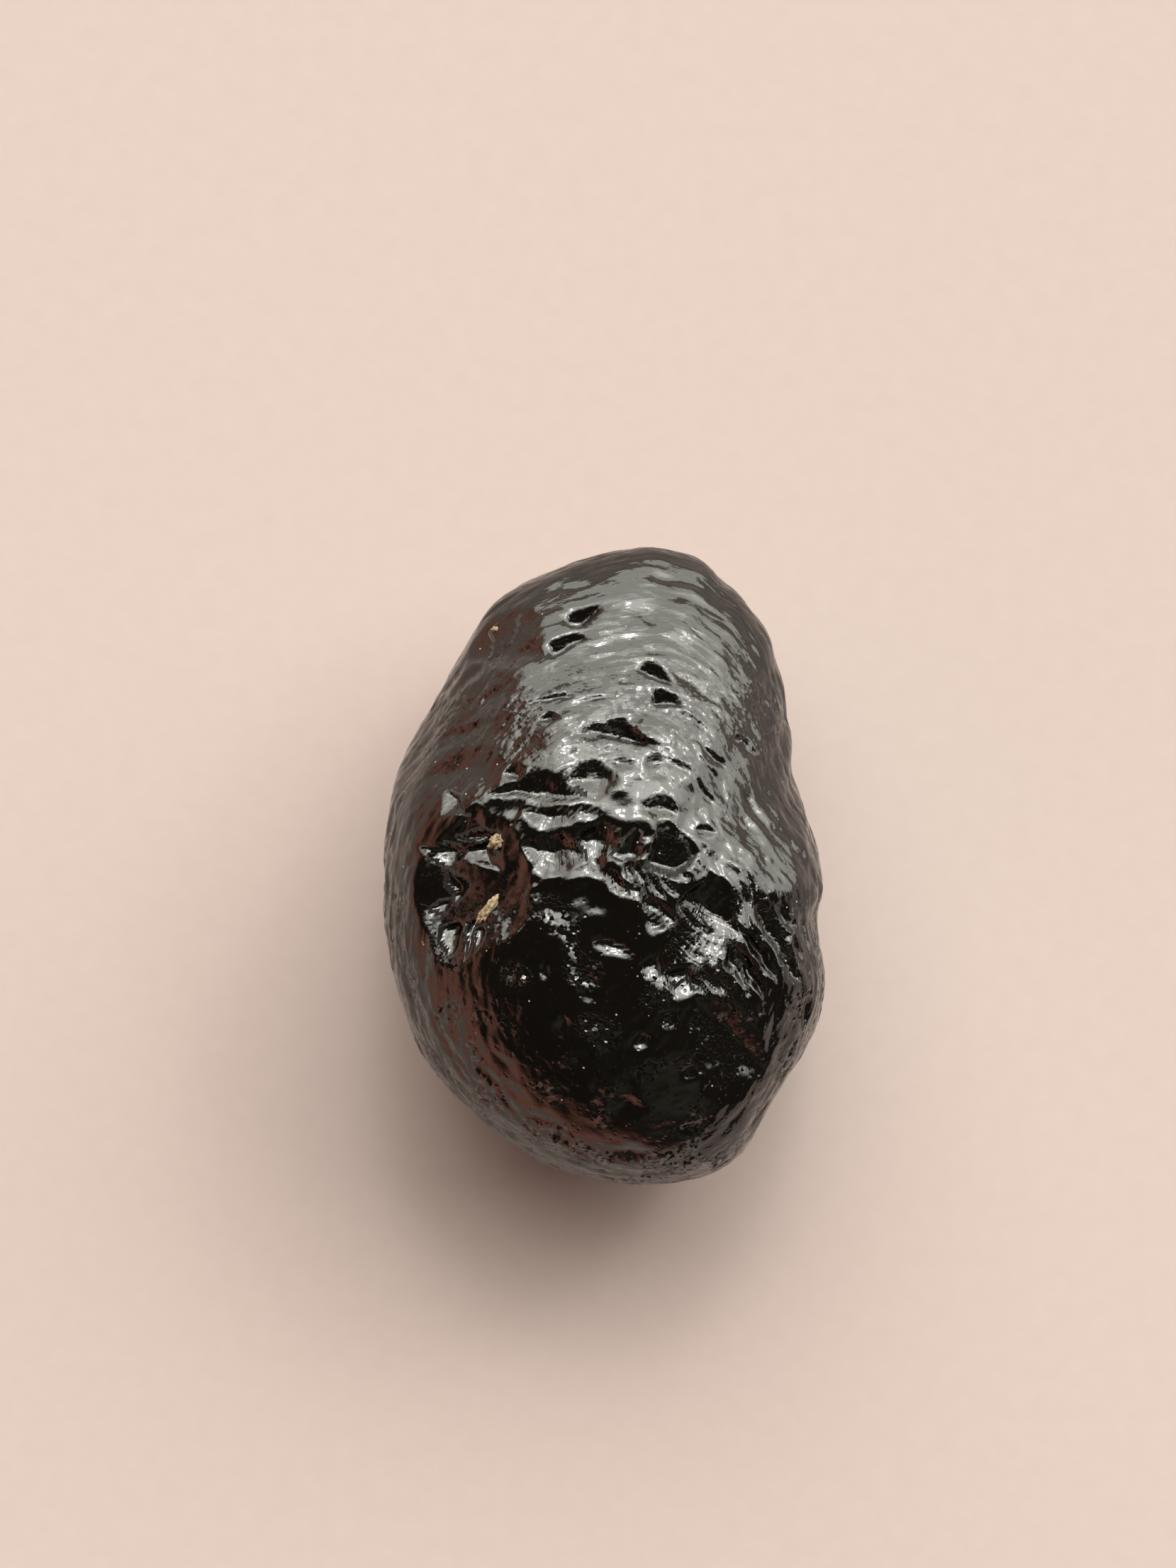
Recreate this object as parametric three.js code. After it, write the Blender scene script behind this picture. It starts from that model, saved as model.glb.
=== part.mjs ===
// A billitonite: a tektite of black natural glass, one solid piece of ovoid shape.
// Millimetres. +X across the stone, +Y towards its thin end, +Z up out of its crown.
// The stone lies on a small worn flat on its belly, and the origin is under its middle, on that flat.
//
// The form is made in three steps. A unit sphere is stretched into the body: a crown above the
// middle plane and a belly below it, inside one outline. Then the relief is carved into it along
// the body's normals: two hollows and two facets with flat sides, burst bubbles, notches with a
// steep wall and a long floor, flutes and scallops. Last, whatever hangs below the resting plane
// is pressed flat onto it.
import * as THREE from "three";
import { mergeVertices } from "three/addons/utils/BufferGeometryUtils.js";

// ---- Driving dimensions, mm ----
const HALF_LENGTH = 17.0; // along Y
const HALF_WIDTH = 11.9; // along X
const CROWN_HEIGHT = 9.8; // middle plane to the top, over the middle
const CROWN_SKEW = 0.44; // how far the crown falls to the thin end, as a share of its height
const FALL_HEADING = 68; // the way it falls, degrees from +X
const PLATEAU_END = 0.02; // where its flat part ends, as a share of the half length
const SLOPE_START = 0.34; // where its full slope starts
const PLATEAU_SLOPE = 0.15; // the flat part's slope, as a share of the full one
const HEAD_FULLNESS = 1.85; // superellipse power at the thin end: under 2 is a long even slope
const FOOT_FULLNESS = 2.7; // the same at the blunt end: over 2 is a flat top with steep flanks
const BELLY_DEPTH = 10.6; // middle plane to the lowest point
const BELLY_SKEW = 0.1;
const BELLY_FULLNESS = 2.7;
const REST_CUT = 0.35; // how deep the worn flat goes into the belly
const EYE = { x: -0.9, y: 4.3, z: 160 }; // marks are placed as seen from here, over the middle
const MESH_DETAIL = 21; // 20 * (detail + 1)^2 triangles
const CROWDING = 0.5; // pulls the mesh's points towards the crown, where the relief is

// The outline seen from above: its corners, counterclockwise from +X.
const OUTLINE = [
  [11.5, 0.2], [10.7, 2.9], [10.1, 5.0], [9.9, 7.6], [9.3, 10.4], [8.3, 13.0],
  [6.6, 15.2], [5.1, 16.55], [2.5, 17.05], [-0.6, 16.65], [-2.9, 16.0], [-5.9, 14.1],
  [-8.2, 10.9], [-9.9, 7.4], [-11.1, 4.4], [-11.75, 0.4], [-11.9, -2.4], [-11.3, -6.0],
  [-9.9, -9.4], [-7.3, -12.8], [-3.9, -15.5], [-1.0, -16.6], [2.4, -17.0], [5.3, -16.5],
  [7.4, -15.1], [9.2, -12.2], [10.9, -9.1], [11.8, -6.6], [11.45, -3.1], [11.75, -1.2],
];

// Hollows: each is bounded by flat sides. x and y are a place on a side's rim, then the heading
// that the side faces and its slope, in degrees, and how far under the skin it starts.
const LEFT_HOLLOW = [
  [-7.8, 2.55, 306, 47, 0],
  [-5.6, 3.0, 208, 44, 0],
  [-3.95, -1.2, 184, 30, 0],
  [-4.5, -4.2, 160, 28, 0],
  [-6.8, -5.1, 150, 32, 0],
  [-9.3, -4.6, 85, 12, 0],
  [-10.2, -1.5, 185, 9, 0],
];
const RIGHT_HOLLOW = [
  [9.4, -9.2, 195, 12, 0],
  [8.9, -12.0, 150, 8, 0],
  [6.8, -13.8, 70, 6, 0],
  [4.4, -9.4, 350, 33, 0],
  [6.5, -7.3, 280, 34, 0],
];
// Two flat facets of the left shoulder, where larger chips have come off.
const UPPER_FACET = [
  [-4.9, 12.9, 140, 42, 0.3],
  [-2.9, 13.0, 185, 50, 0],
  [-5.5, 10.4, 115, 58, 0],
];
const LOWER_FACET = [
  [-7.4, 5.6, 150, 40, 0.35],
  [-7.4, 3.6, 95, 52, 0],
  [-5.6, 5.5, 175, 52, 0],
];

// Scoops: round hollows cut as by a ball. x and y are the centre, then the half sizes along and
// across the heading, the heading in degrees, the depth, and how upright the ball's axis stands:
// 0 is square to the body, 1 is straight up.
const SCOOPS = [
  [-4.85, -7.95, 1.05, 1.05, 0, 0.45, 0.3], // a burst bubble
  [-3.7, -9.3, 0.95, 0.6, -20, 0.28, 0.3],
  [1.1, -13.1, 0.8, 0.8, 0, 0.3, 0.5],
];

// Notches: a steep wall on the side of the thin end, then a crease, then a longer floor.
// x and y are the middle of the crease, then its length, the width of the wall and of the floor,
// the heading in degrees, the depth, the shift of the widest place along the crease, and its bow.
const NOTCHES = [
  // on the long slope to the thin end
  [-1.25, 12.95, 1.7, 0.85, 0.7, 24, 0.68, -0.1, 0],
  [2.65, 10.3, 2.1, 0.72, 0.6, -26, 0.6, -0.3, -0.05],
  [3.45, 8.8, 1.7, 0.6, 0.45, -26, 0.52, -0.3, 0],
  [1.5, 7.25, 2.9, 0.9, 0.75, -12, 0.55, -0.1, -0.08],
  [-7.4, 5.7, 3.4, 1.0, 1.6, 10, 0.45, 0, -0.03],
  [-7.5, 7.6, 2.4, 0.3, 0.9, 22, 0.25, 0, -0.05],
  [-5.6, 12.6, 2.8, 0.5, 0.7, 48, 0.22, 0, 0],
  [2.3, 14.2, 2.2, 0.5, 0.9, -28, 0.22, 0, 0],
  // the ledges across the middle
  [-3.6, 3.95, 5.6, 1.05, 0.5, -4, 0.5, 0.2, -0.02],
  [-0.55, 4.65, 2.8, 1.0, 1.5, -2, 0.5, 0, -0.03],
  [3.0, 3.1, 2.4, 0.6, 0.8, -8, 0.42, 0, -0.05],
  [-2.9, 3.0, 3.2, 0.3, 1.25, -4, 0.4, 0, -0.05],
  [-2.6, 0.95, 4.2, 1.0, 1.6, -8, 0.7, -0.1, -0.02],
  [-0.2, 1.45, 2.6, 1.2, 1.9, -6, 0.8, -0.1, -0.12],
  [1.3, 0.55, 1.5, 1.9, 0.9, -15, 0.6, 0, 0],
  [3.4, 0.55, 3.0, 1.7, 0.9, -15, 0.5, 0, -0.05],
  [-2.2, -1.3, 4.2, 0.5, 2.6, 2, 0.16, 0, 0],
  [5.8, -2.5, 3.9, 2.2, 6.0, -30, 0.7, 0, -0.03],
  // the steps down from them
  [2.3, -1.3, 2.6, 0.6, 1.1, -40, 0.42, 0, 0],
  [3.3, -2.5, 2.2, 0.5, 0.8, -50, 0.38, 0, 0],
  // the flutes down the right flank
  [9.2, -3.7, 4.0, 0.75, 0.6, -58, 0.6, 0, 0],
  [10.0, -5.0, 3.2, 0.6, 0.6, -62, 0.45, 0, 0],
  [8.2, -4.7, 3.6, 0.5, 0.7, -57, 0.45, 0, 0],
  [7.3, -5.4, 3.6, 0.6, 0.8, -60, 0.5, 0, 0],
  // the row of chips above the lower hollow
  [0.5, -4.3, 3.0, 0.3, 0.85, -16, 0.3, 0, -0.05],
  [2.65, -4.9, 1.4, 0.5, 1.3, -14, 0.58, 0, 0],
  [4.0, -5.3, 1.8, 0.5, 1.9, -24, 0.8, 0, 0],
  [5.4, -6.1, 2.0, 0.5, 0.7, -60, 0.42, 0, 0],
];

// Broken out of the hollow's floor and walls, and so cut on top of it.
const HOLLOW_NOTCHES = [
  [-7.6, 1.05, 4.6, 0.5, 1.1, -1, 0.44, 0.05, -0.05],
  [-8.6, -3.4, 1.6, 0.5, 1.7, -6, 0.5, 0, 0],
  [-7.25, -3.3, 1.0, 0.45, 1.7, -8, 0.42, 0, 0],
];

// Scallops: smaller notches all over the skin, drawn at random along the flow of the glass,
// which runs in rings round FLOW_POLE.
const FLOW_POLE = new THREE.Vector3(0.08, -0.36, 0.93).normalize();
const SCALLOPS = {
  count: 420,
  seed: 70001,
  length: [1.0, 3.6],
  wall: [0.25, 0.8],
  floor: [0.25, 0.9],
  turn: [-18, 18], // degrees away from the flow
  strength: [0.4, 1.0],
  steepness: 0.22, // depth for each mm of wall and floor, at full strength
  bow: -0.03,
  crownShare: 0.5, // how strong they are on the crown
  leastWidth: 0.7, // narrower ones are finer than this mesh
};
const POLE_CLEARANCE = 0.2; // the flow has no heading nearer the pole than this

const DEGREE = Math.PI / 180;
const TURN = 2 * Math.PI;

function smoothstep(from, to, value) {
  const t = THREE.MathUtils.clamp((value - from) / (to - from), 0, 1);
  return t * t * (3 - 2 * t);
}

// ---- The body ----

const outlineCorners = OUTLINE.map(([x, y]) => ({
  angle: (Math.atan2(y, x) + TURN) % TURN,
  radius: Math.hypot(x, y),
})).sort((a, b) => a.angle - b.angle);

// The outline's radius at an angle: a smooth cubic from corner to corner.
function outlineRadius(angle) {
  const corners = outlineCorners;
  const count = corners.length;
  const at = (angle + TURN) % TURN;
  let i = count - 1;
  while (i > 0 && corners[i].angle > at) i -= 1;
  if (corners[i].angle > at) i = count - 1;
  const before = corners[(i + count - 1) % count];
  const here = corners[i];
  const next = corners[(i + 1) % count];
  const after = corners[(i + 2) % count];
  const gap = (a, b) => (b.angle - a.angle + TURN) % TURN;
  const span = gap(here, next);
  const slopeHere = (next.radius - before.radius) / (gap(before, here) + span);
  const slopeNext = (after.radius - here.radius) / (span + gap(next, after));
  const s = ((at - here.angle + TURN) % TURN) / span;
  const s2 = s * s;
  const s3 = s2 * s;
  return (
    (2 * s3 - 3 * s2 + 1) * here.radius +
    (s3 - 2 * s2 + s) * span * slopeHere +
    (3 * s2 - 2 * s3) * next.radius +
    (s3 - s2) * span * slopeNext
  );
}

// How far the crown has come down at a place, given in shares of the outline's radius: little
// over its flat part, then steadily.
function fall(x, y) {
  const heading = FALL_HEADING * DEGREE;
  const narrow = HALF_WIDTH / HALF_LENGTH;
  const ahead = x * narrow * Math.cos(heading) + y * Math.sin(heading);
  const span = SLOPE_START - PLATEAU_END;
  const t = Math.max((ahead - PLATEAU_END) / span, 0);
  const bent = t < 1 ? t ** 3 - t ** 4 / 2 : t - 0.5;
  return PLATEAU_SLOPE * ahead + (1 - PLATEAU_SLOPE) * span * bent;
}

// The body's point for a point of the unit sphere, with its middle plane at z = 0.
function bodyPoint(unit) {
  const reach = outlineRadius(Math.atan2(unit.y, unit.x));
  const blunt = smoothstep(0.75, 0, unit.y);
  const crownFullness = THREE.MathUtils.lerp(HEAD_FULLNESS, FOOT_FULLNESS, blunt);
  const onCrown = unit.z >= 0;
  const power = onCrown ? crownFullness : BELLY_FULLNESS;
  const across = Math.hypot(unit.x, unit.y);
  const stretch = (across ** power + Math.abs(unit.z) ** power) ** (-1 / power);
  const x = unit.x * stretch;
  const y = unit.y * stretch;
  const height = onCrown
    ? CROWN_HEIGHT * (1 - CROWN_SKEW * fall(x, y))
    : BELLY_DEPTH * (1 - BELLY_SKEW * y);
  return new THREE.Vector3(reach * x, reach * y, height * unit.z * stretch);
}

function bodyNormal(unit) {
  return new THREE.Vector3(
    unit.x / HALF_WIDTH,
    unit.y / HALF_LENGTH,
    unit.z / CROWN_HEIGHT,
  ).normalize();
}

// Where the eye sees a body point, as a place in the middle plane.
function seenFromEye(point) {
  const scale = EYE.z / (EYE.z - point.z);
  return new THREE.Vector2(EYE.x + (point.x - EYE.x) * scale, EYE.y + (point.y - EYE.y) * scale);
}

// The point of the unit sphere whose body point is seen at (x, y), found step by step.
function unitSeenAt(x, y) {
  const rim = 0.995;
  const unit = new THREE.Vector3((0.9 * x) / HALF_WIDTH, (0.9 * y) / HALF_LENGTH, 0);
  for (let step = 0; step < 40; step += 1) {
    const across = Math.min(Math.hypot(unit.x, unit.y), rim);
    unit.setLength(across > 0 ? across : rim);
    unit.z = Math.sqrt(1 - across * across);
    const seen = seenFromEye(bodyPoint(unit));
    unit.x += (0.6 * (x - seen.x)) / HALF_WIDTH;
    unit.y += (0.6 * (y - seen.y)) / HALF_LENGTH;
    unit.z = 0;
  }
  unit.z = Math.sqrt(Math.max(0, 1 - unit.x * unit.x - unit.y * unit.y));
  return unit.normalize();
}

// ---- The relief ----

// A slow wander of the surface, so that no mark keeps a ruled outline.
function wander(p) {
  return new THREE.Vector2(
    0.22 * Math.sin(1.9 * p.y + 0.8 * p.x + 0.5) + 0.12 * Math.sin(4.1 * p.y - 2.3 * p.x + p.z + 1.3),
    0.18 * Math.sin(1.7 * p.x - 0.6 * p.y + 2.1) + 0.1 * Math.sin(3.7 * p.x + 2.9 * p.y - p.z + 0.2),
  );
}

// Long, low swells of the whole body.
function swell(p) {
  const long = Math.sin(0.55 * p.x + 0.7) * Math.sin(0.42 * p.y - 0.3 + 0.2 * p.z);
  const short = Math.sin(1.3 * p.x - 0.9 * p.y + 1.1) * Math.sin(1.1 * p.y + 1.2 * p.z);
  return 0.25 * long + 0.1 * short;
}

// The depth of a notch at (along, across), measured from the middle of its crease.
function notchDepth(along, across, { length, wall, floor, depth, lean, bow }) {
  const reach = (2 * along) / length;
  const shifted = reach - lean * (1 - reach * reach);
  if (Math.abs(reach) >= 1 || Math.abs(shifted) >= 1) return 0;
  const width = 1 - Math.abs(shifted) ** 1.6;
  const offset = across - bow * along * along;
  const onWall = offset > 0;
  const share = Math.abs(offset) / ((onWall ? wall : floor) * width);
  if (share >= 1) return 0;
  return depth * width ** 0.6 * (1 - share ** (onWall ? 1.1 : 1.2));
}

function makeNotch([x, y, length, wall, floor, heading, depth, lean, bow]) {
  const cosine = Math.cos(heading * DEGREE);
  const sine = Math.sin(heading * DEGREE);
  return (seen) => {
    const along = (seen.x - x) * cosine + (seen.y - y) * sine;
    const across = (seen.y - y) * cosine - (seen.x - x) * sine;
    return notchDepth(along, across, { length, wall, floor, depth, lean, bow });
  };
}

const notches = NOTCHES.map(makeNotch);
const hollowNotches = HOLLOW_NOTCHES.map(makeNotch);

const scoops = SCOOPS.map(([x, y, halfLength, halfWidth, heading, depth, upright]) => {
  const unit = unitSeenAt(x, y);
  const centre = bodyPoint(unit);
  const axis = bodyNormal(unit).lerp(new THREE.Vector3(0, 0, 1), upright).normalize();
  const along = new THREE.Vector3(Math.cos(heading * DEGREE), Math.sin(heading * DEGREE), 0);
  along.addScaledVector(axis, -along.dot(axis)).normalize();
  const across = axis.clone().cross(along);
  // In coordinates divided by the half sizes the cut is a ball, whose rim has radius 1.
  const size = (halfLength + halfWidth) / 2;
  const sink = depth / size;
  const ball = (1 + sink * sink) / (2 * sink);
  const local = (v) =>
    new THREE.Vector3(v.dot(along) / halfLength, v.dot(across) / halfWidth, v.dot(axis) / size);
  return (point, normal) => {
    const from = local(point.clone().sub(centre));
    from.z -= ball - sink;
    const outside = from.lengthSq() - ball * ball;
    if (outside >= 0) return 0;
    const way = local(normal);
    const slope = from.dot(way);
    const square = way.lengthSq();
    return (slope + Math.sqrt(slope * slope - square * outside)) / square;
  };
});

// Over the hollow each side is a plane, and the cut goes down to the highest of them.
const LEAST_FACING = 0.15;
const hollows = [LEFT_HOLLOW, RIGHT_HOLLOW, UPPER_FACET, LOWER_FACET].map((sides) => {
  const planes = sides.map(([x, y, heading, slope, below]) => {
    const unit = unitSeenAt(x, y);
    const rim = bodyPoint(unit).addScaledVector(bodyNormal(unit), -below);
    const tilt = slope * DEGREE;
    const up = new THREE.Vector3(
      Math.sin(tilt) * Math.cos(heading * DEGREE),
      Math.sin(tilt) * Math.sin(heading * DEGREE),
      Math.cos(tilt),
    );
    return { up, level: rim.dot(up) };
  });
  return (point, normal) => {
    let depth = Infinity;
    for (const { up, level } of planes) {
      depth = Math.min(depth, (point.dot(up) - level) / Math.max(normal.dot(up), LEAST_FACING));
    }
    return Math.max(depth, 0);
  };
});

// A small fixed source of random numbers, the same on every run.
const DRAW_FACTOR = 16807;
const DRAW_MODULUS = 2147483647;

function makeDraw(seed) {
  let state = seed;
  return (low, high) => {
    state = (state * DRAW_FACTOR) % DRAW_MODULUS;
    return low + ((high - low) * state) / DRAW_MODULUS;
  };
}

function makeScallops() {
  const draw = makeDraw(SCALLOPS.seed);
  const made = [];
  for (let i = 0; i < SCALLOPS.count; i += 1) {
    const height = draw(-1, 1);
    const angle = draw(0, TURN);
    const ring = Math.sqrt(1 - height * height);
    const unit = new THREE.Vector3(ring * Math.cos(angle), ring * Math.sin(angle), height);
    const length = draw(...SCALLOPS.length);
    const wall = draw(...SCALLOPS.wall);
    const floor = draw(...SCALLOPS.floor);
    const turn = draw(...SCALLOPS.turn) * DEGREE;
    const strength = draw(...SCALLOPS.strength);
    const flow = FLOW_POLE.clone().cross(unit);
    const clear = flow.length() >= POLE_CLEARANCE;
    if (!clear || wall + floor < SCALLOPS.leastWidth) continue;
    const normal = bodyNormal(unit);
    const along = flow.addScaledVector(normal, -flow.dot(normal)).normalize();
    const across = normal.clone().cross(along);
    if (across.dot(FLOW_POLE) > 0) {
      along.negate();
      across.negate();
    }
    const centre = bodyPoint(unit);
    const share = 1 - (1 - SCALLOPS.crownShare) * smoothstep(0.25, 0.8, height);
    const depth = strength * share * SCALLOPS.steepness * (wall + floor);
    const shape = { length, wall, floor, depth, lean: 0, bow: SCALLOPS.bow };
    const reach = 0.6 * length + 1;
    made.push((point) => {
      const offset = point.clone().sub(centre);
      if (offset.lengthSq() > reach * reach || Math.abs(offset.dot(normal)) > 1.5) return 0;
      const u = offset.dot(along) * Math.cos(turn) + offset.dot(across) * Math.sin(turn);
      const v = offset.dot(across) * Math.cos(turn) - offset.dot(along) * Math.sin(turn);
      return notchDepth(u, v, shape);
    });
  }
  return made;
}

const scallops = makeScallops();

// How far the surface stands out of the body at a point. Where marks meet, the deepest one
// holds, so that a sharp ridge is left between them.
function relief(point, normal) {
  const shift = wander(point);
  const seen = seenFromEye(point);
  const plateau = smoothstep(0, -4, seen.y) * smoothstep(0.1, 0.5, normal.z);
  const marked = seen.clone().addScaledVector(shift, 0.5);
  const moved = point.clone().add(new THREE.Vector3(0.3 * shift.x, 0.3 * shift.y, 0));
  let cut = 0;
  for (const notch of notches) cut = Math.max(cut, notch(marked));
  for (const hollow of [...scoops, ...hollows]) cut = Math.max(cut, hollow(moved, normal));
  for (const notch of hollowNotches) cut += notch(marked);
  cut *= smoothstep(-0.05, 0.25, normal.z);
  for (const scallop of scallops) cut = Math.max(cut, scallop(point));
  return swell(point) * (1 - 0.7 * plateau) - cut;
}

// ---- The stone ----

function makeStoneGeometry() {
  const sphere = new THREE.IcosahedronGeometry(1, MESH_DETAIL);
  sphere.deleteAttribute("normal");
  sphere.deleteAttribute("uv");
  const geometry = mergeVertices(sphere, 1e-5);
  const position = geometry.getAttribute("position");
  const unit = new THREE.Vector3();
  for (let i = 0; i < position.count; i += 1) {
    unit.fromBufferAttribute(position, i).normalize();
    unit.z += CROWDING;
    unit.normalize();
    const normal = bodyNormal(unit);
    const point = bodyPoint(unit);
    point.addScaledVector(normal, relief(point, normal));
    point.z = Math.max(point.z, REST_CUT - BELLY_DEPTH);
    position.setXYZ(i, point.x, point.y, point.z);
  }
  geometry.computeBoundingBox();
  const box = geometry.boundingBox;
  const middle = box.getCenter(new THREE.Vector3());
  geometry.translate(-middle.x, -middle.y, -box.min.z);
  geometry.computeVertexNormals();
  return geometry;
}

// Tektite glass: almost black, with a little brown, bright where it is freshly chipped.
const tektiteGlass = new THREE.MeshStandardMaterial({
  color: 0x14110f,
  roughness: 0.18,
  metalness: 0,
  flatShading: true,
});

const stone = new THREE.Mesh(makeStoneGeometry(), tektiteGlass);
stone.name = "stone";

const billitonite = new THREE.Group();
billitonite.name = "billitonite";
billitonite.add(stone);

export default billitonite;
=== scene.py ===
"""A billitonite, which is a tektite: one ovoid lump of black natural glass.

The stone's body is a stretched sphere with a low crown that slopes to the thin end. Its relief
is carved into it in code: a deep hollow in the left flank, ledges across the middle, flutes down
the right flank, flat-sided breaks, scallops and slits all over, and the fine flow lines of the
glass. Two crumbs of dry clay sit in the hollow and a speck of it on the shoulder. Sizes are in
millimetres until a mesh is written, which is in metres.
"""

import logging
import math
from collections.abc import Callable
from dataclasses import dataclass
from enum import Enum
from functools import partial

import bpy
import numpy as np
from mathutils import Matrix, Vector, noise


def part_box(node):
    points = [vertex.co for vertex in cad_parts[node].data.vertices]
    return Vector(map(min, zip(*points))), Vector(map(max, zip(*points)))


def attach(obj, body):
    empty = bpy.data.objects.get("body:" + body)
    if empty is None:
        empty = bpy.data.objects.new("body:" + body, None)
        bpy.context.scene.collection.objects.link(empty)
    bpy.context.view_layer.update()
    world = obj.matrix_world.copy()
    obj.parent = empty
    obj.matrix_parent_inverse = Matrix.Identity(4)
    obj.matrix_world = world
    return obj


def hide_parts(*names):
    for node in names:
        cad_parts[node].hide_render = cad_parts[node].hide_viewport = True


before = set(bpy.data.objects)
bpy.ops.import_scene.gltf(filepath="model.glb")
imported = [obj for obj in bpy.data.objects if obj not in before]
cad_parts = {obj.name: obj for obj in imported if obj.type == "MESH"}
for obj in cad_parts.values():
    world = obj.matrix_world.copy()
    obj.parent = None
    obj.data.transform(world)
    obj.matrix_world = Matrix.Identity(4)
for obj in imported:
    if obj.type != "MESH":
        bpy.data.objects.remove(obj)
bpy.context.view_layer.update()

log = logging.getLogger("billitonite")

Socket = bpy.types.NodeSocket

MM = 0.001
TURN = 2 * math.pi
STONE_NODE = "stone"
ROOT_BODY = "root"
MIDDLE_PLANE = 10.25  # the stone's middle plane above the floor, mm
EYE = (-0.9, 4.3, 160.0)  # where the eye stands over the stone's middle plane, mm


# ---- Helpers ----


def smoothstep(low: float, high: float, value: np.ndarray) -> np.ndarray:
    """Eases from 0 at low to 1 at high.

    Args:
        low: Where the result is 0.
        high: Where the result is 1. It may be less than low.
        value: The values to ease.

    Returns:
        The eased values.
    """
    t = np.clip((value - low) / (high - low), 0.0, 1.0)
    return t * t * (3.0 - 2.0 * t)


def unit_rows(rows: np.ndarray) -> np.ndarray:
    """Scales each row to length 1."""
    return rows / np.linalg.norm(rows, axis=-1, keepdims=True)


def linear_colour(hex_code: str, alpha: float = 1.0) -> tuple[float, float, float, float]:
    """Turns an sRGB hex code into a linear colour.

    Args:
        hex_code: Six hex digits after a hash sign.
        alpha: The fourth value.

    Returns:
        Red, green, blue and alpha, linear.
    """
    shares = [int(hex_code[i : i + 2], 16) / 255 for i in (1, 3, 5)]
    red, green, blue = [
        s / 12.92 if s <= 0.04045 else ((s + 0.055) / 1.055) ** 2.4 for s in shares
    ]
    return red, green, blue, alpha


def plug_in(node: bpy.types.Node, links: dict) -> None:
    """Gives a node's inputs their links and plain values.

    Args:
        node: The node.
        links: Input name or index to the output socket or plain value that it gets.
    """
    for name, source in links.items():
        socket = node.inputs[name]
        if isinstance(source, Socket):
            node.id_data.links.new(source, socket)
        else:
            socket.default_value = source


def add_node(
    tree: bpy.types.NodeTree, kind: str, links: dict | None = None, **settings
) -> bpy.types.Node:
    """Adds a node with its settings and links.

    Args:
        tree: The tree to add to.
        kind: The node's type name, without its first word, ShaderNode.
        links: Input name or index to the output socket or plain value that it gets.
        **settings: Attributes of the node itself.

    Returns:
        The new node.
    """
    node = tree.nodes.new("ShaderNode" + kind)
    for name, value in settings.items():
        setattr(node, name, value)
    plug_in(node, links or {})
    return node


def new_material(name: str) -> tuple[bpy.types.Material, Callable, bpy.types.Node]:
    """Starts a material with one Principled shader.

    Args:
        name: The material's name.

    Returns:
        The material, a function that adds a node to it, and the shader.
    """
    material = bpy.data.materials.new(name)
    material.use_nodes = True
    tree = material.node_tree
    return material, partial(add_node, tree), tree.nodes["Principled BSDF"]


def deselect_all() -> None:
    """Leaves nothing selected, so that the next operator acts on new geometry alone."""
    bpy.ops.object.select_all(action="DESELECT")


def take_over(name: str) -> bpy.types.Object:
    """Names the object that an operator has just made, and its mesh.

    Args:
        name: The new name of both.

    Returns:
        The object.
    """
    piece = bpy.context.object
    piece.name = name
    piece.data.name = name
    return piece


def read_points(mesh: bpy.types.Mesh) -> np.ndarray:
    """Reads a mesh's points as rows.

    Args:
        mesh: The mesh.

    Returns:
        One row for each point.
    """
    flat = np.zeros(len(mesh.vertices) * 3, dtype=np.float32)
    mesh.vertices.foreach_get("co", flat)
    return flat.reshape(-1, 3).astype(float)


def write_points(mesh: bpy.types.Mesh, points: np.ndarray) -> None:
    """Writes rows back as a mesh's points."""
    mesh.vertices.foreach_set("co", points.astype(np.float32).ravel())
    mesh.update()


def write_attribute(mesh: bpy.types.Mesh, name: str, values: np.ndarray) -> None:
    """Keeps one number for each point of the mesh under a name that a material can read."""
    attribute = mesh.attributes.new(name, "FLOAT", "POINT")
    attribute.data.foreach_set("value", values.astype(np.float32))


def scramble(whole: np.ndarray, seed: float) -> np.ndarray:
    """Turns whole numbers into fixed numbers between 0 and 1 that look random."""
    return np.modf(np.abs(np.sin(whole * 12.9898 + seed * 78.233) * 43758.5453))[0]


def kinked(values: np.ndarray, seed: float) -> np.ndarray:
    """A jagged line between -1 and 1, with a kink at every whole number.

    Args:
        values: Places along the line.
        seed: Chooses the pattern.

    Returns:
        The line's height at each place.
    """
    cell = np.floor(values)
    start, end = scramble(cell, seed), scramble(cell + 1, seed)
    return 2 * (start + (end - start) * (values - cell)) - 1


FACET_MARGIN = 0.15  # how near the sides of its cell a facet's middle may lie
FACET_PLAY = 0.7  # how far the middle may move within the cell
FACET_TILT = 1.6  # how steep the facets are


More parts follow.
